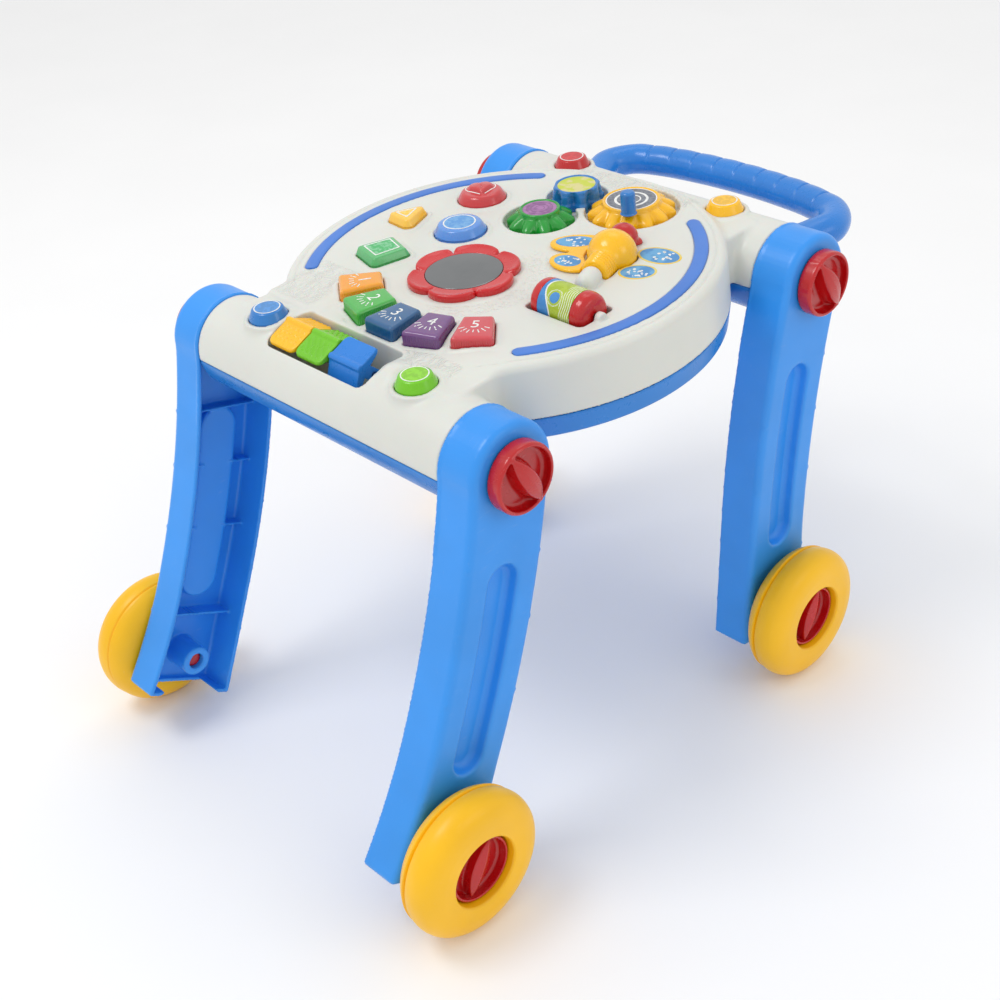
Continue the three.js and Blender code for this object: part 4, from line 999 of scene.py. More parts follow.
def chaikin(P, n=2):
    P = [np.array(p, float) for p in P]
    for _ in range(n):
        out = [P[0]]
        for a, b in zip(P[:-1], P[1:]):
            out += [a * 0.75 + b * 0.25, a * 0.25 + b * 0.75]
        out.append(P[-1])
        P = out
    return P


tyre = chaikin([(7.4, WI + 1.2), (14, WI), (34, WI + 0.2), (46, WI + 2.2), (55.5, WI + 8.5), (59.6, WI + 14.6), (60.0, WI + 16.2)], 2)
tyre += chaikin([(59.0, WI + 16.9), (57.6, WI + 17.6), (58.9, WI + 18.6)], 1)
tyre += chaikin([(60.0, WI + 19.4), (61.3, WI + 24), (61.4, WI + 30), (58.6, WI + 37.4), (51.0, WI + 42.6), (40, WI + 44.2), (31.2, WI + 43.6)], 3)
tyre += chaikin([(30.0, WI + 42.2), (29.4, WI + 39.0), (28.9, WO - 22.0), (28.4, WO - 24)], 1) + [np.array((7.4, WO - 24.0))]
tyre = [p for p in tyre]
mx = max(p[0] for p in tyre)
tyre = [(p[0] * 61.3 / mx if p[0] > 40 else p[0], min(p[1], WO)) for p in tyre]
WV, WF = lathe_closed(tyre, 160)


def f_cap(x, y, z):
    b = WO - 24.0 + 0.3
    rho = np.hypot(x, y)
    f = rext(rho - 28.1, span(z, b, b + 18.0), 1.2)
    f = smax(f, -rext(rho - 25.8, b + 9.0 - z, 3.0), 0.8)
    lens = np.maximum(np.hypot(x, y - 34.0) - 42.0, np.hypot(x, y + 34.0) - 42.0)
    slope = 0.42 * np.abs(y) + 0.006 * x * x
    fin = rext(np.maximum(lens, rho - 25.6), span(z, b + 2, WO - 3.2 - slope), 0.8)
    f = smin(f, fin, 1.6)
    return np.minimum(f, rext(rho - 6.8, span(z, 156.0, b + 1), 0.8))


def f_knob(x, y, z):
    rho = np.hypot(x, y)
    f = rext(rho - 27.5, span(z, 184.3, 197.6), 2.6)
    dish = np.hypot(rho, z - 205.5) - 18.5
    f = smax(f, -rext(rho - 24.2, 189.4 - z, 4.0), 1.6)
    lens = np.maximum(np.hypot(x, y - 38.0) - 47.4, np.hypot(x, y + 38.0) - 47.4)
    lens = lens + 0.18 * np.maximum(0, z - 189)
    bar = rext(np.maximum(lens, rho - 26.6), span(z, 186.0, 203.4 - 0.0085 * x * x - 0.16 * np.abs(y)), 1.4)
    bar = np.maximum(bar, -(np.hypot(np.abs(y) - 30.0, (z - 208.0)) - 23.6)) if False else bar
    f = smin(f, bar, 2.6)
    return np.minimum(f, rext(rho - 8.0, span(z, 129.5, 185.5), 0.8))


hk = 0.8
CAPV, CAPQ = solid(f_cap, (-28.3, -28.3, 156), (28.3, 28.3, 228), hk)
KV, KQ = solid(f_knob, (-27.6, -27.6, 129.5), (27.6, 27.6, 204.6), hk)


def spin(v, deg):
    a = math.radians(deg)
    c_, s_ = math.cos(a), math.sin(a)
    return np.stack([v[:, 0] * c_ - v[:, 1] * s_, v[:, 0] * s_ + v[:, 1] * c_, v[:, 2]], 1)


def placed(v, sx, y0, z0):
    return np.stack([sx * v[:, 2], y0 + sx * v[:, 0], z0 + v[:, 1]], 1)


for which in ("front", "rear"):
    axy, axz = AX[which]
    hub = LEGP[which][2]
    wy, wz = axy + hub[1] * hub[0], 61.3
    for side, sx in (("right", 1), ("left", -1)):
        b = f"wheel_{which}_{side}"
        make(f"road_wheel_{which}_{side}", placed(WV, sx, wy, wz), WF, "wheel", b, b, "wheel_yellow", stand_of, sharp=60)
        turn = 62 if which == "front" else 68
        make(f"axle_cap_{which}_{side}", placed(spin(CAPV, turn), sx, wy, wz), CAPQ, "red", b, f"axle_{which}_{side}", "red", stand_of)
        k = f"leg_knob_{which}_{side}"
        make(f"lock_knob_{which}_{side}", placed(spin(KV, -60), sx, axy, axz), KQ, "red", k, k, "red", stand_of)

# ------------------------------------------------------------------ corner buttons
CB = [("blue", -1, -1, "gear_blue", "blue"), ("green", 1, -1, "lime", "lime"), ("yellow", 1, 1, "yellow", "yellow"), ("red", -1, 1, "red", "red")]
prof = fillet([(0, 24), (16.9, 24), (16.9, 26), (16.0, 26.6), (16.0, 40.2), (12.9, 47.1), (11.2, 48.0), (0, 48.0)], [0, .3, .3, .3, 1.2, 1.4, 1.2, 0], 6)
V0, F0, _ = lathe([tuple(p) for p in prof], 96)
TOPS = {"blue": (84, 148, 216), "green": (142, 212, 54), "yellow": (250, 196, 60), "red": (210, 62, 66)}
for nm, sx, sy, mt, sl in CB:
    c0 = np.array([sx * 89.0, sy * 176.0, 0.0])
    body = f"corner_button_{nm}"
    make(f"press_cap_{nm}", V0 + c0, F0, mt, body, body, sl, sharp=50)
    tm = print_mat(f"film_{nm}", TOPS[nm], tuple(int(a * 0.92) for a in TOPS[nm]), 260.0)
    sticker(f"film_disc_{nm}", circle(c0[0], c0[1], 9.9, 72), 48.0, 0.12, tm, body, sl)
    ribbon(f"film_ring_{nm}", circle(c0[0], c0[1], 10.9, 72), circle(c0[0], c0[1], 9.95, 72), 48.0, 0.14, "ink", body, sl)


# ------------------------------------------------------------------ shaped buttons
def button(name, ring_of, top, mt, body, sl, ins, plate):
    """ring_of(d) gives the outline inset by d"""
    pr = [(-2.0, 35.4), (-2.0, 37.4), (-0.1, 37.7), (0.0, 38.2), (0.0, 46.6)]
    e0, e1 = (0.0, 46.6), (ins, top)
    for q_ in fillet([(0.0, 44.0), e0, (ins * 0.78, top - 0.9), (ins + 2.2, top)], [0, 2.4, 2.2, 0], 7)[1:]:
        pr.append((q_[0], q_[1]))
    rings_ = [at_z(ring_of(d), z) for d, z in pr]
    v_, f_ = loft(rings_)
    make(name, v_, f_, mt, body, body, sl, sharp=50)
    sticker(name + "_film", ring_of(plate + 0.9), top, 0.10, FILM[name], body, sl)
    ribbon(name + "_line", ring_of(plate), ring_of(plate + 1.15), top, 0.14, "ink", body, sl)


FILM = {
    "triangle_cap": print_mat("film_triangle", (250, 196, 60), (240, 208, 112), 300.0),
    "square_cap": print_mat("film_square", (70, 178, 104), (130, 198, 150), 300.0),
    "round_cap": print_mat("film_round", (84, 148, 212), (112, 168, 218), 300.0),
}
button("triangle_cap", lambda d: outline(TRI, 6, d, 14), 53.0, "f_yellow", "button_triangle", "yellow", 3.4, 6.6)
button("square_cap", lambda d: outline(SQR, 5, d, 14), 53.0, "f_green", "button_square", "green", 3.4, 6.4)
button("round_cap", lambda d: circle(RND[0], RND[1], 22.5 - d, 112), 53.9, "f_blue", "button_round", "blue", 5.2, 8.4)


# heart button: a round base with a raised soft heart
def heart2(x, y, s=1.0):
    u, w = (x - HRT[0]), (y - HRT[1])
    ca, sa = math.cos(math.radians(-52)), math.sin(math.radians(-52))
    a, b = (u * ca - w * sa) / s, (u * sa + w * ca) / s
    a = np.abs(a)
    pts_d = np.hypot(a - 4.9, b - 3.6) - 6.6
    tri = poly(a, b, [(-0.5, -11.5), (10.4, -0.4), (4.9, 6.0), (-0.5, 5.0)])
    return smin(pts_d, tri, 1.2) * s


def f_heart(x, y, z):
    rho = np.hypot(x - HRT[0], y - HRT[1])
    base = rext(rho - (21.5 - 0.62 * np.maximum(0, z - 46.0)), span(z, 35.4, 53.0), 2.2)
    base = np.minimum(base, rext(rho - 23.4, span(z, 35.4, 37.5), 0.4))
    hd = heart2(x, y)
    dome = rext(hd, z - (57.6 - 0.012 * rho * rho), 2.8)
    return smin(base, np.maximum(dome, 40 - z), 2.2)


v, q = solid(f_heart, (HRT[0] - 23.5, HRT[1] - 23.5, 35.4), (HRT[0] + 23.5, HRT[1] + 23.5, 58), 0.75)
make("heart_cap", v, q, "f_red", "button_heart", "button_heart", "red")
a_ = np.arange(144) * 2 * math.pi / 144
R_ = []
for a in a_:
    rr = np.linspace(2, 20, 240)
    dd = heart2(HRT[0] + rr * math.cos(a), HRT[1] + rr * math.sin(a))
    R_.append(rr[np.argmax(dd > -0.9)] if (dd > -0.9).any() else 14.0)
R_ = np.array(R_)
Ph = np.stack([HRT[0] + R_ * np.cos(a_), HRT[1] + R_ * np.sin(a_)], 1)


def heart_z(P_):
    out_ = []
    for px, py in P_:
        zz = np.linspace(60, 44, 400)
        dd = f_heart(np.full(400, px), np.full(400, py), zz)
        out_.append(zz[np.argmax(dd < 0)])
    return np.array(out_)


c_ = np.array(HRT)
Po, Pi = c_ + (Ph - c_) * 1.30, c_ + (Ph - c_) * 1.215
ribbon("heart_line", Po, Pi, 53.0, 0.16, "ink", "button_heart", "red", dome=heart_z)

# ------------------------------------------------------------------ keys
KN = ["orange", "green", "teal", "purple", "red"]


def text_mesh(txt, size, depth):
    cu = bpy.data.curves.new("glyph", "FONT")
    cu.body = txt
    cu.size = size
    cu.extrude = depth / 2
    cu.align_x = "CENTER"
    cu.align_y = "CENTER"
    cu.resolution_u = 6
    ob = bpy.data.objects.new("glyph", cu)
    bpy.context.scene.collection.objects.link(ob)
    bpy.context.view_layer.update()
    dg = bpy.context.evaluated_depsgraph_get()
    me = bpy.data.meshes.new_from_object(ob.evaluated_get(dg))
    v_ = np.array([p.co for p in me.vertices], float)
    f_ = [tuple(p.vertices) for p in me.polygons]
    bpy.data.objects.remove(ob)
    bpy.data.curves.remove(cu)
    bpy.data.meshes.remove(me)
    return v_, f_


for i, nm in enumerate(KN):
    P4, u, w = key_poly(i)
    body = f"key_{nm}"

    def ring_(d, rib=0.0):
        o = resample(outline(P4, 3.0, d, 12), 420)
        if rib:
            ph = np.arange(420) * 2 * math.pi * 70 / 420
            o = offs(o, rib * (0.5 + 0.5 * np.cos(ph))[:, None] - rib)
        return o
    rings_ = [at_z(ring_(-1.6), 34.6), at_z(ring_(-1.6), 36.8), at_z(ring_(0.0), 37.0), at_z(ring_(0.05, 0.45), 38.0), at_z(ring_(0.05, 0.45), 45.0), at_z(ring_(0.12, 0.45), 48.4)]
    for d_, z_ in ((0.35, 49.4), (0.8, 50.5), (1.6, 51.4), (2.6, 51.9), (3.8, 52.0)):
        rings_.append(at_z(ring_(d_), z_))
    v_, f_ = loft(rings_)
    make(f"key_cap_{nm}", v_, f_, f"k_{nm}", body, body, f"key_{nm}", sharp=60)
    # generic printing: a numeral and rays
    cen_ = np.array(FAN) + u * 111.0
    tv, tf = text_mesh(str(i + 1), 15.0, 0.16)
    e1, e2 = -w, u
    e1, e2 = (np.array([w[0], w[1]]), np.array([-u[0], -u[1]]))
    pos = cen_[None] + tv[:, :1] * e1 + tv[:, 1:2] * e2 + (e2 * 2.5)[None]
    make(f"key_numeral_{nm}", np.column_stack([pos, 52.06 + tv[:, 2]]), tf, "ink", body, None, f"key_{nm}", smooth=False)
    vv, ff = [], []
    for k in range(-3, 4):
        a0 = math.radians(-90 + k * 21)
        dr = np.array([math.cos(a0), math.sin(a0)])
        nr = np.array([-dr[1], dr[0]])
        for r0, r1 in (((8.2, 11.8)), ((12.6, 14.2))) if k % 2 == 0 else (((8.6, 13.2)),):
            pts2 = [dr * r0 - nr * 0.35, dr * r1 - nr * 0.5, dr * r1 + nr * 0.5, dr * r0 + nr * 0.35]
            if max(abs(p[0]) for p in pts2) > 12.5 or min(p[1] for p in pts2) < -13.5:
                continue
            base_ = len(vv)
            for zz in (51.95, 52.14):
                for p in pts2:
                    g_ = cen_ + p[0] * e1 + (p[1] + 2.5) * e2
                    vv.append((g_[0], g_[1], zz))
            ff += [(base_ + 3, base_ + 2, base_ + 1, base_), (base_ + 4, base_ + 5, base_ + 6, base_ + 7)]
            for j in range(4):
                j2 = (j + 1) % 4
                ff.append((base_ + j, base_ + j2, base_ + 4 + j2, base_ + 4 + j))
    if vv:
        make(f"key_rays_{nm}", np.array(vv), ff, "ink", body, None, f"key_{nm}", smooth=False)

# ------------------------------------------------------------------ flower and mirror
n = 360
aa = np.arange(n) * 2 * math.pi / n
lob = np.abs(np.cos(3 * aa)) ** 0.55
Rb = 39.0 + 7.6 * lob


def fl(r, z):
    return np.column_stack([r * np.cos(aa), -43.5 + r * np.sin(aa), z if not np.isscalar(z) else np.full(n, z)])


dip = 1 - 0.55 * (1 - sstep(lob, 0.0, 0.55))
rings_ = [fl(np.full(n, 31.9), 44.4), fl(Rb - 0.6, 44.4), fl(Rb, 45.0), fl(Rb, 44.6 + 3.9 * dip), fl(Rb - 0.35, 44.6 + 5.4 * dip), fl(Rb - 1.2, 44.7 + 6.1 * dip), fl(Rb - 2.4, 44.7 + 6.1 * dip), fl(Rb - 3.6, 44.8 + 5.4 * dip),
          fl(31.9 + (Rb - 31.9) * 0.45, 44.9 + 4.6 * (0.5 + 0.5 * dip)), fl(np.full(n, 33.0), 49.3), fl(np.full(n, 32.2), 49.2), fl(np.full(n, 31.9), 48.6)]
v_ = np.concatenate(rings_)
K_ = len(rings_)
f_ = []
for i in range(K_):
    i2 = (i + 1) % K_
    for j in range(n):
        j2 = (j + 1) % n
        f_.append((i * n + j, i * n + j2, i2 * n + j2, i2 * n + j))
MAT["petal"] = plastic("petal_red", (200, 22, 28), 0.26, 0.07, 0.04, coat=0.3)
make("flower_rim", v_, np.array(f_), "petal", "chassis", "flower_frame", "red", sharp=60)
prof = fillet([(0, 44.6), (31.6, 44.6), (31.6, 49.3), (31.0, 49.5), (0, 49.5)], [0, .3, .3, .3, 0], 3)
v_, f_, _ = lathe([tuple(p) for p in prof], 128)
make("mirror_disc", v_ + np.array([0, -43.5, 0]), f_, "mirror", "chassis", "mirror", "mirror", sharp=30)


# ------------------------------------------------------------------ gears
def gear_loft(c, N, phase, topR, topZ, keep=0.0, hole=4.8):
    p = 5.6 * N / 2 - 0.6
    n_ = N * 36
    th_ = np.arange(n_) * 2 * math.pi / n_
    cw = np.cos(N * (th_ - phase))
    lobe = np.where(cw > 0, np.abs(cw) ** 0.75, -1.75 * np.abs(cw) ** 1.2)

    def rg(r, amp, z):
        rr = r + amp * lobe
        return np.column_stack([c[0] + rr * np.cos(th_), c[1] + rr * np.sin(th_), np.full(n_, z)])
    tr = topR
    R = [rg(hole, 0, 37.4), rg(p - 0.6, 2.1, 37.4), rg(p, 2.2, 38.0), rg(p, 2.3, 41.5), rg(p - 0.15, 2.3, 42.8), rg(p - 0.7, 2.25, 44.0), rg(p - 1.8, 2.1, 45.1)]
    for k in range(1, 9):
        s_ = k / 8
        z = 45.1 + (topZ - 3.4 - 45.1) * s_ ** 0.85
        r = (p - 1.8) + (tr + 0.5 - (p - 1.8)) * s_
        R.append(rg(r, 2.1 * (1 - s_) ** 0.55 + keep * s_ * 0.6, z))
    R += [rg(tr + 0.35, keep, topZ - 1.2), rg(tr + 0.1, keep * 0.5, topZ - 0.45), rg(tr - 0.5, 0, topZ), rg(tr - 1.7, 0, topZ), rg(tr - 2.1, 0, topZ - 0.4), rg(tr - 2.4, 0, topZ - 0.7), rg(hole + 3, 0, topZ - 0.7)]
    v1, f1 = loft(R[1:], cap0=False, cap1=True)
    # underside with its hub bore
    m0 = len(v1)
    inner = [rg(hole, 0, 37.4), rg(hole, 0, 46.6)]
    v2 = np.vstack([v1, inner[0], inner[1], np.array([[c[0], c[1], 46.6]])])
    f2 = list(f1)
    for j in range(n_):
        j2 = (j + 1) % n_
        f2.append((m0 + j, m0 + j2, j2, j))
        f2.append((m0 + n_ + j, m0 + n_ + j2, m0 + j2, m0 + j))
        f2.append((m0 + 2 * n_, m0 + n_ + j2, m0 + n_ + j))
    return v2, f2


def ang(a, b):
    return math.atan2(b[1] - a[1], b[0] - a[0])


phB = 0.2


def phase_for(c1, N1, p1, c2, N2):
    f0 = ang(c1, c2)
    return f0 + math.pi - (math.pi - N1 * (f0 - p1)) / N2


v_, f_ = gear_loft(GB, 8, phB, 19.4, 56.0, keep=0.9)
make("gear_wheel_blue", v_, f_, "gear_blue", "gear_blue", "gear_blue", "blue", sharp=70)
v_, f_ = gear_loft(GG, 10, phase_for(GB, 8, phB, GG, 10), 17.4, 54.0)
make("gear_wheel_green", v_, f_, "green", "gear_green", "gear_green", "green", sharp=70)
v_, f_ = gear_loft(GY, 13, phase_for(GB, 8, phB, GY, 13), 24.6, 54.0)
make("gear_wheel_yellow", v_, f_, "yellow", "gear_yellow", "gear_yellow", "yellow", sharp=70)
sticker("gear_disc_green", circle(*GG, 14.6, 96), 53.3, 0.12, "p_mauve", "gear_green", "green")
for k_, r_ in enumerate((11.5, 8.0, 4.5)):
    ribbon(f"gear_disc_green_ring_{k_}", circle(*GG, r_, 72), circle(*GG, r_ - 0.5, 72), 53.4, 0.12, print_mat(f"ring_mauve_{k_}", (128, 90, 128)), "gear_green", "green")
sticker("gear_disc_blue", circle(*GB, 16.6, 96), 55.3, 0.12, "p_lime", "gear_blue", "blue")
sticker("gear_disc_yellow", circle(*GY, 21.8, 96), 53.3, 0.12, "p_grey", "gear_yellow", "yellow")
ribbon("gear_disc_yellow_edge", circle(*GY, 21.9, 96), circle(*GY, 20.9, 96), 53.4, 0.12, "ink", "gear_yellow", "yellow")
ribbon("gear_disc_yellow_ring", circle(*GY, 14.6, 96), circle(*GY, 12.4, 96), 53.4, 0.12, "ink", "gear_yellow", "yellow")
ribbon("gear_disc_yellow_inner", circle(*GY, 8.4, 96), circle(*GY, 7.2, 96), 53.4, 0.12, "ink", "gear_yellow", "yellow")
prof = fillet([(0, 53.2), (7.4, 53.2), (6.4, 54.8), (6.2, 71.5), (4.4, 73.0), (0, 73.0)], [0, .3, 1, 2.2, 2.4, 0], 6)
v_, f_, _ = lathe([tuple(p) for p in prof], 64)
make("crank_handle", v_ + np.array([GY[0] + 16.6, GY[1] - 22, 0]), f_, "gear_blue", "gear_yellow", "crank_peg", "blue", sharp=60)


# ------------------------------------------------------------------ butterfly
def fly_world(v):
    """lathe frame (x, y, z along the spinner axis) -> body frame"""
    v = np.asarray(v, float)
    s_, up_, w_ = v[:, 2], v[:, 0], v[:, 1]
    return np.stack([FLY[0] + FD[0] * s_ - FD[1] * w_, FLY[1] + FD[1] * s_ + FD[0] * w_, FLY[2] + up_], 1)


neck = []
for k in range(5):
    s0 = -19.4 - k * 3.3
    neck += [(12.3 - 0.15 * k, s0), (12.5 - 0.15 * k, s0 - 0.9), (12.2 - 0.15 * k, s0 - 1.8), (11.2 - 0.12 * k, s0 - 2.5)]
ball = [(20.4 * math.cos(a), 20.4 * math.sin(a) * 0.98) for a in np.linspace(math.radians(-47), math.radians(72), 30)]
profile = [(0, -36.0), (9.4, -36.0), (10.6, -35.4)] + neck[::-1] + [(12.2, -18.4), (12.8, -16.9)] + ball + [(2.6, 19.5), (0, 19.5)]
v_, f_, _ = lathe(profile, 112)
make("spinner_body", fly_world(v_), [tuple(p[::-1]) for p in f_] if False else f_, "yellow", "butterfly_body", "butterfly_body", "yellow", sharp=60)


def f_head(x, y, z):
    s_, w_ = fly_sw(x, y)
    zz = z - FLY[2]
    f = np.sqrt((s_ - 24) ** 2 + w_ ** 2 + (zz - 3) ** 2) - 12.3
    for k in (-1, 1):
        f = smin(f, np.sqrt((s_ - 29) ** 2 + (w_ - k * 9.2) ** 2 + (zz + 3) ** 2) - 5.1, 1.6)
    f = smax(f, 44.3 - z, 0.4)
    return smax(f, -fly_d(x, y, z, 1.0), 0.5)


c0 = np.array(FLY[:2]) + 24 * np.array(FD)
v, q = solid(f_head, (c0[0] - 17, c0[1] - 17, 44), (c0[0] + 17, c0[1] + 17, 63), 0.7)
make("spinner_head", v, q, "red", "chassis", "butterfly_head", "red")


def ell(x, y, s0, w0, rs, rw, turn):
    s_, w_ = fly_sw(x, y)
    a_, b_ = s_ - s0, w_ - w0
    u_, v2_ = a_ * math.cos(turn) + b_ * math.sin(turn), -a_ * math.sin(turn) + b_ * math.cos(turn)
    k0 = np.sqrt((u_ / rs) ** 2 + (v2_ / rw) ** 2)
    k1 = np.sqrt((u_ / rs ** 2) ** 2 + (v2_ / rw ** 2) ** 2) + 1e-6
    return k0 * (k0 - 1) / k1


def f_wings(x, y, z):
    d = smin(ell(x, y, 13, 34, 15, 25, 0.25), ell(x, y, -21, 27, 14, 20, -0.3), 3.0)
    d = smin(d, ell(x, y, -4, 24, 12, 12, 0), 3.0)
    s_, w_ = fly_sw(x, y)
    d = np.maximum(d, 2.0 - w_)
    f = rext(d, span(z, 44.3, 47.4), 1.4)
    f = smax(f, -fly_d(x, y, z, 2.2), 0.5)
    f = np.maximum(f, -(np.sqrt((s_ - 24) ** 2 + w_ ** 2 + (z - FLY[2] - 3) ** 2) - 14.2))
    f = np.maximum(f, -(np.sqrt((s_ - 29) ** 2 + (w_ - 9.2) ** 2 + (z - FLY[2] + 3) ** 2) - 7.0))
    return np.maximum(f, -(np.hypot(s_ - np.clip(s_, -60, -36), w_) - 11.4))


cw_ = np.array(FLY[:2]) + 32 * np.array([-FD[1], FD[0]])
v, q = solid(f_wings, (cw_[0] - 48, cw_[1] - 48, 44.3), (cw_[0] + 48, cw_[1] + 48, 47.4), 0.8)
make("spinner_wings", v, q, "yellow", "chassis", "butterfly_wings", "yellow")


def ell_loop(s0, w0, rs, rw, turn, n=96, sgn=1, clip=None):
    t_ = np.arange(n) * 2 * math.pi / n
    a_, b_ = rs * np.cos(t_), rw * np.sin(t_)
    s_ = s0 + a_ * math.cos(turn) - b_ * math.sin(turn)
    w_ = w0 + a_ * math.sin(turn) + b_ * math.cos(turn)
    if clip:
        w_ = np.maximum(w_, clip)
    w_ = w_ * sgn
    P_ = np.stack([FLY[0] + FD[0] * s_ - FD[1] * w_, FLY[1] + FD[1] * s_ + FD[0] * w_], 1)
    return P_ if sgn > 0 else P_[::-1]


rng = np.random.default_rng(7)
for sgn, zt, tag in ((1, 47.4, "near"), (-1, 44.0, "far")):
    if sgn < 0:
        sticker("wing_print_upper_edge", ell_loop(12, 36, 13.5, 19.5, 0.25, sgn=sgn), 44.0, 0.12, "p_yellow", "chassis", "white")
        sticker("wing_print_lower_edge", ell_loop(-19, 29.5, 12.5, 15.5, -0.3, sgn=sgn), 44.0, 0.10, "p_yellow", "chassis", "white")
        sticker("wing_print_upper_far", ell_loop(12, 36, 11.6, 17.6, 0.25, sgn=sgn), 44.12, 0.10, "p_blue", "chassis", "white")
        sticker("wing_print_lower_far", ell_loop(-19, 29.5, 10.6, 13.6, -0.3, sgn=sgn), 44.12, 0.10, "p_blue", "chassis", "white")
        zt = 44.2
    else:
        sticker("wing_print_upper_near", ell_loop(13, 38.0, 9.6, 16.5, 0.25), zt, 0.12, "p_blue", "chassis", "yellow")
        sticker("wing_print_lower_near", ell_loop(-21, 30.0, 9.0, 12.0, -0.3), zt, 0.12, "p_blue", "chassis", "yellow")
        zt += 0.1
    vv, ff = [], []
    for (s0, w0, rs, rw) in ((12.5, 37, 7.5, 12.5), (-20.5, 29.8, 6.5, 9.0)):
        for k in range(16):
            a0, q0 = rng.uniform(0, 6.28), math.sqrt(rng.uniform(0.02, 1))
            P_ = ell_loop(s0 + rs * q0 * math.cos(a0), w0 + rw * q0 * math.sin(a0), *(rng.uniform(0.5, 1.5),) * 2, 0, 14, sgn)
            b0 = len(vv)
            vv += [(p[0], p[1], zt - 0.05) for p in P_] + [(p[0], p[1], zt + 0.12) for p in P_]
            k14 = len(P_)
            ff.append(tuple(b0 + j for j in range(k14))[::-1])
            ff.append(tuple(b0 + k14 + j for j in range(k14)))
            for j in range(k14):
                j2 = (j + 1) % k14
                ff.append((b0 + j, b0 + j2, b0 + k14 + j2, b0 + k14 + j))
    make(f"wing_dots_{tag}", np.array(vv), ff, "ink", "chassis", None, "white", smooth=False)

# ------------------------------------------------------------------ roller
RX0, RX1 = DRUM[0] - 28.5, DRUM[0] + 28.5


def along_x(v):
    """lathe z -> x, about the drum centre line"""
    return np.stack([v[:, 2], DRUM[1] + v[:, 0], DRUM[2] + v[:, 1]], 1)


for side, pts_ in (("left", [(2.6, RX0), (8.5, RX0), (13.6, RX0 + 0.9), (16.3, RX0 + 4.2), (17.0, RX0 + 8.5), (17.0, RX0 + 10.9), (2.6, RX0 + 10.9)]), ("right", [(2.6, RX1 - 11.9), (17.0, RX1 - 11.9), (17.0, RX1 - 8.5), (16.3, RX1 - 4.2), (13.6, RX1 - 0.9), (8.5, RX1), (2.6, RX1)])):
    pr = fillet(pts_, [0, 2, 4, 5, 6, .3, 0] if side == "left" else [0, .3, 6, 5, 4, 2, 0], 6)
    pr = [tuple(p) for p in pr]
    v_, f_ = lathe_closed(pr, 96)
    make(f"drum_cap_{side}", along_x(v_), f_, "red", "roller", f"roller_cap_{side}", "red", sharp=60)
X0, X1 = RX0 + 11.3, RX1 - 12.3
nx, na = 120, 260
xs = np.linspace(X0, X1, nx)
an = np.arange(na) * 2 * math.pi / na
verts = [(x_, DRUM[1] + 17 * math.cos(a), DRUM[2] + 17 * math.sin(a)) for x_ in xs for a in an]
faces, mi = [], []
for i in range(nx - 1):
    for j in range(na):
        j2 = (j + 1) % na
        faces.append((i * na + j, i * na + j2, (i + 1) * na + j2, (i + 1) * na + j))
        u_ = (xs[i] + xs[i + 1]) / 2 - X0
        g_ = (an[j] + math.pi / na) * 17.0
        wv = 8.0 + 4.6 * math.sin(g_ / 7.6 + 0.6)
        d1 = u_ - wv
        dot = math.hypot(u_ - 15.5, (an[j] - 2.35) * 17.0)
        ringd = abs(dot - 6.6) < 0.45
        k = 0 if d1 < -0.7 else (1 if d1 < 0.7 else 2)
        if k == 2:
            if dot < 4.6:
                k = 0
            elif ringd and int(an[j] * 40 + u_ * 2) % 2 == 0:
                k = 1
            elif u_ > 22.5 and abs(((u_ - 22.5) / 2.1 + 0.6 * math.sin(g_ / 4.0)) % 1 - 0.5) < 0.13:
                k = 1
        mi.append(k)
nv = len(verts)
verts += [(x_, DRUM[1] + 2.6 * math.cos(a), DRUM[2] + 2.6 * math.sin(a)) for x_ in (X0, X1) for a in an]
for j in range(na):
    j2 = (j + 1) % na
    faces.append((nv + j, nv + j2, j2, j))
    e_ = (nx - 1) * na
    faces.append((e_ + j, e_ + j2, nv + na + j2, nv + na + j))
    faces.append((nv + na + j, nv + na + j2, nv + j2, nv + j))
    mi += [2, 2, 2]
MAT["d_blue"] = print_mat("drum_blue", (70, 142, 206), (60, 130, 196), 200.0, 0.3)
MAT["d_white"] = print_mat("drum_white", (238, 240, 234), (226, 228, 222), 200.0, 0.3)
MAT["d_lime"] = print_mat("drum_lime", (162, 184, 44), (172, 194, 60), 120.0, 0.3)
make("drum_barrel", np.array(verts), np.array(faces)[:, ::-1] if False else np.array(faces), ["d_blue", "d_white", "d_lime"], "roller", "roller_drum", "lime", mat_index=mi, sharp=60)

# ------------------------------------------------------------------ paddles
SEC = [(-22.6, 4.6), (-22.6, 7.8), (0, 17.2), (18.9, 8.6), (18.9, 5.4), (5.2, 7.4), (5.2, -4.4), (-5.2, -4.4), (-5.2, 7.4)]


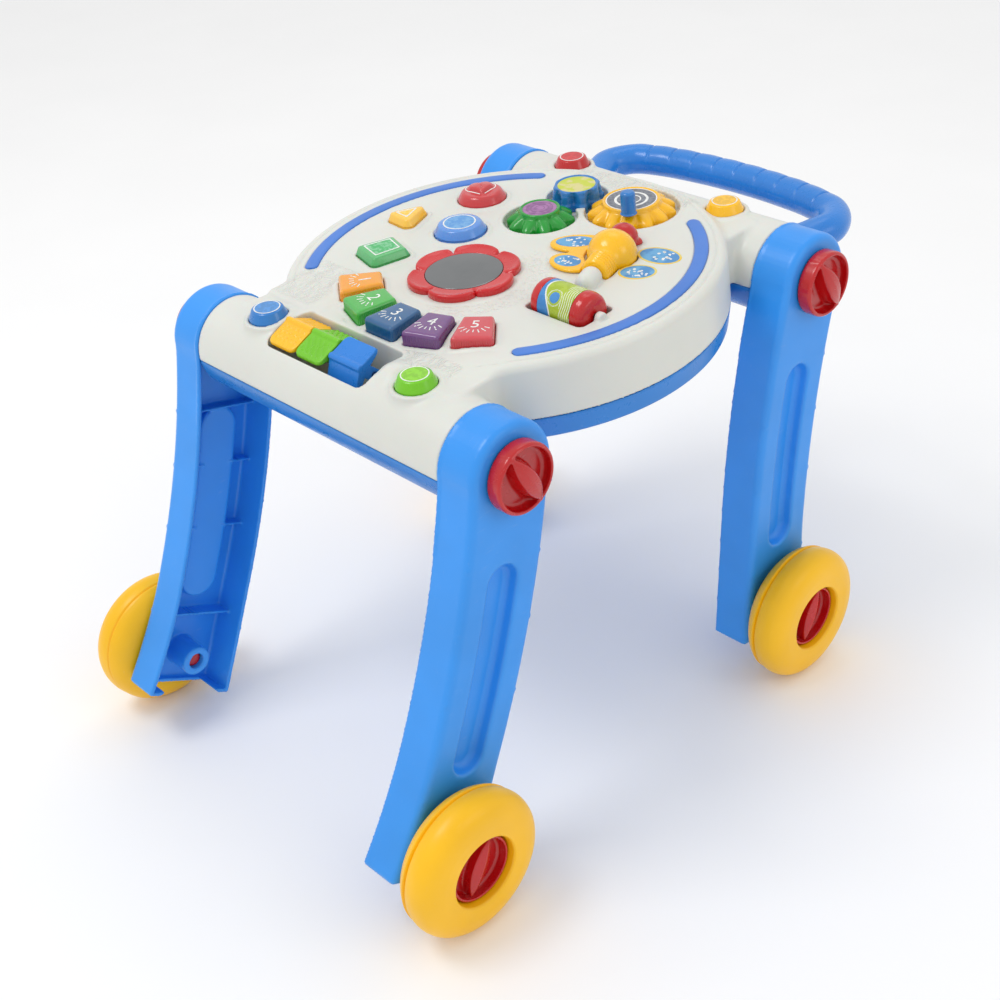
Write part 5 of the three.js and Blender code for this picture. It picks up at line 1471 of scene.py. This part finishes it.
def make_paddle(nm, x0, x1, turn, mt, sl, front, back):
    hx, cx = (x1 - x0) / 2, (x0 + x1) / 2
    fa = math.atan2(17.2 - 7.8, 22.6)
    ba = math.atan2(8.6 - 17.2, 18.9)

    def f(x, y, z):
        d = poly(y, z, [SEC[k] for k in (0, 1, 2, 3, 4, 5, 6, 7, 8)][::-1]) + 0.7
        # a ridge band along the crest
        f_ = rext(d, np.abs(x - cx) - hx + 0.7, 0.0) - 0.7
        tipf = rbox(x, y, cx, 0, hx, 60, 0) * 0
        rc_ = rbox(x, y, cx, -1.5, hx, 21.6 if True else 0, 6.5)
        f_ = smax(f_, rc_, 1.0)
        for side, kind, an_, y_mid in ((-1, front, fa, -12.5), (1, back, ba, 11.5)):
            # height above the panel's face
            yy = y
            face = (17.2 + (9.4 / 22.6) * yy) if side < 0 else (17.2 - (8.6 / 18.9) * yy)
            hgt = (z - face) * 0.9
            on = np.maximum(np.abs(x - cx) - hx + 3.4, np.abs(y - y_mid) - 7.2)
            if kind == "dots":
                px = (x - cx + 400) % 5.6 - 2.8
                py = (y - y_mid + 401.4) % 5.2 - 2.6
                e_ = np.sqrt(px * px + py * py + (hgt * 1.6) ** 2) - 1.5
                f_ = smin(f_, np.maximum(e_, on), 0.5)
            elif kind == "ribs":
                px = (x - cx + 400) % 4.6 - 2.3
                e_ = np.hypot(px, hgt * 1.2) - 1.0
                f_ = smin(f_, np.maximum(e_, on), 0.5)
            elif kind == "diag":
                px = ((x - cx) * 0.8 + (y - y_mid) * 0.6 + 400) % 5.0 - 2.5
                e_ = np.hypot(px, hgt * 1.2) - 0.9
                f_ = smin(f_, np.maximum(e_, on), 0.5)
        band = np.maximum(rext(np.hypot(y, (z - 15.4)) - 3.0, np.abs(x - cx) - hx + 0.2, 0.6), 8 - z)
        f_ = smin(f_, band, 0.8)
        return np.maximum(f_, -(np.hypot(y, z) - 2.4))

    v1, q1 = solid(f, (x0, -23, -4.6), (x1, 20, 19), 0.72)
    a0 = math.radians(turn)
    y1, z1 = v1[:, 1] * math.cos(a0) - v1[:, 2] * math.sin(a0), v1[:, 1] * math.sin(a0) + v1[:, 2] * math.cos(a0)
    make(f"flip_key_{nm}", np.stack([v1[:, 0], y1 - 172.5, z1 + 26.5], 1), q1, mt, f"paddle_{nm}", f"paddle_{nm}", sl)


make_paddle("yellow", -67.6, -35.2, 0, "yellow", "yellow", "dots", "ribs")
make_paddle("green", -34.2, -2.0, 0, "lime", "lime", "diag", "dots")
make_paddle("blue", -1.0, 35.0, 47, "paddle_blue", "blue", "none", "none")

# ------------------------------------------------------------------ rim strips
for nm, a0, a1 in STRIPS:
    nu = 220
    rm, w0 = 161.4, 5.6
    la = math.radians(a1 - a0) * rm
    uu = np.concatenate([np.linspace(0, 6, 14, endpoint=False) ** 1.0, np.linspace(6, la + 2 * w0 - 6, nu), (la + 2 * w0) - np.linspace(6, 0, 14, endpoint=False)[1:]])
    uu = np.unique(np.clip(uu, 0.05, la + 2 * w0 - 0.05))
    sec = []
    for u_ in uu:
        e_ = min(u_, la + 2 * w0 - u_)
        hw = w0 if e_ >= w0 else math.sqrt(max(0.02, w0 * w0 - (w0 - e_) ** 2))
        a_ = math.radians(a0) + (u_ - w0) / rm
        loop = []
        for fr, z_ in ((-1, 43.0), (1, 43.0), (1, 44.1), (0.93, 44.6), (0.8, 44.9), (0.4, 45.0), (0, 45.05), (-0.4, 45.0), (-0.8, 44.9), (-0.93, 44.6), (-1, 44.1)):
            r_ = rm + fr * hw
            loop.append((r_ * math.cos(a_), r_ * math.sin(a_), z_))
        sec.append(np.array(loop))
    v_, f_ = loft(sec)
    f_ = [tuple(p[::-1]) for p in f_]
    make(f"trim_{nm}", v_, f_, "strip", "chassis", nm, "strip_blue", sharp=60)

# ------------------------------------------------------------------ CAD pieces that stay
for nm, mt in (("battery_door", "blue"), ("door_screw", "steel"), ("battery_1", "cell"), ("battery_2", "cell"), ("battery_3", "cell"), ("circuit_board", "board"), ("speaker", "cone"), ("butterfly_pin", "steel"), ("roller_axle", "steel"), ("paddle_axle", "steel")):
    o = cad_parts[nm]
    if len(o.material_slots) == 0:
        o.data.materials.append(MAT[mt])
    for sl_ in o.material_slots:
        sl_.material = MAT[mt]

# ------------------------------------------------------------------ floor, light, camera
bpy.ops.mesh.primitive_plane_add(size=1, location=(0, 0, 0))
floor = bpy.context.object
floor.name = "floor"
R = 5.0
me = floor.data
me.clear_geometry()
g = 24
gx = np.linspace(-R, R, g)
vs = [(x_, y_, 0.0) for x_ in gx for y_ in gx]
fs = [(i * g + j, (i + 1) * g + j, (i + 1) * g + j + 1, i * g + j + 1) for i in range(g - 1) for j in range(g - 1)]
me.from_pydata(vs, [], fs)
m_, nt_, b_, tc_ = nodes_of("floor_pale")
link(nt_, mix(nt_, ramp(nt_, noise(nt_, tc_, 3.0, 2.0), 0, 1), (0.955, 0.955, 0.955), (0.97, 0.97, 0.97)), b_.inputs["Base Color"])
b_.inputs["Roughness"].default_value = 0.85
b_.inputs["Specular IOR Level"].default_value = 0.1
me.materials.append(m_)

w = bpy.data.worlds.new("studio")
bpy.context.scene.world = w
w.use_nodes = True
w.node_tree.nodes["Background"].inputs[0].default_value = (1, 1, 1, 1)
w.node_tree.nodes["Background"].inputs[1].default_value = 0.84
bpy.context.scene.view_settings.view_transform = "Standard"
bpy.context.scene.view_settings.look = "None"


def area(name, loc, target, size, power):
    L_ = bpy.data.lights.new(name, "AREA")
    L_.shape = "RECTANGLE"
    L_.size, L_.size_y = size
    L_.energy = power
    o = bpy.data.objects.new(name, L_)
    bpy.context.scene.collection.objects.link(o)
    d = np.array(target, float) - np.array(loc, float)
    from mathutils import Vector
    o.rotation_euler = Vector(d).to_track_quat("-Z", "Y").to_euler()
    o.location = loc


area("key_light", (-0.5, -1.0, 2.2), (0, 0, 0.25), (0.9, 0.7), 13)
area("fill_light", (1.9, 0.5, 1.3), (0, 0, 0.3), (0.8, 0.8), 3)
area("back_light", (-0.5, 1.0, 2.4), (0, 0, 0.3), (1.2, 0.8), 3)

from mathutils import Matrix
pos = np.array([0.8557, -0.7821, 0.9121])
tgt = np.array([0.02285, -0.0422, 0.195])
fwd = (tgt - pos) / np.linalg.norm(tgt - pos)
rgt = np.cross(fwd, [0, 0, 1])
rgt /= np.linalg.norm(rgt)
upv = np.cross(rgt, fwd)
Rm = np.array([rgt, -upv, fwd])
c_, s_ = math.cos(-0.08), math.sin(-0.08)
Rm = np.array([[c_, -s_, 0], [s_, c_, 0], [0, 0, 1]]) @ Rm
cam = bpy.data.cameras.new("camera")
cam.sensor_width = 36.0
cam.lens = 36.0 * 1527.93 / 1000.0
co = bpy.data.objects.new("camera", cam)
bpy.context.scene.collection.objects.link(co)
X, Y, Z = Rm[0], -Rm[1], -Rm[2]
co.matrix_world = Matrix(((X[0], Y[0], Z[0], pos[0]), (X[1], Y[1], Z[1], pos[1]), (X[2], Y[2], Z[2], pos[2]), (0, 0, 0, 1)))
bpy.context.scene.camera = co

bpy.context.view_layer.update()
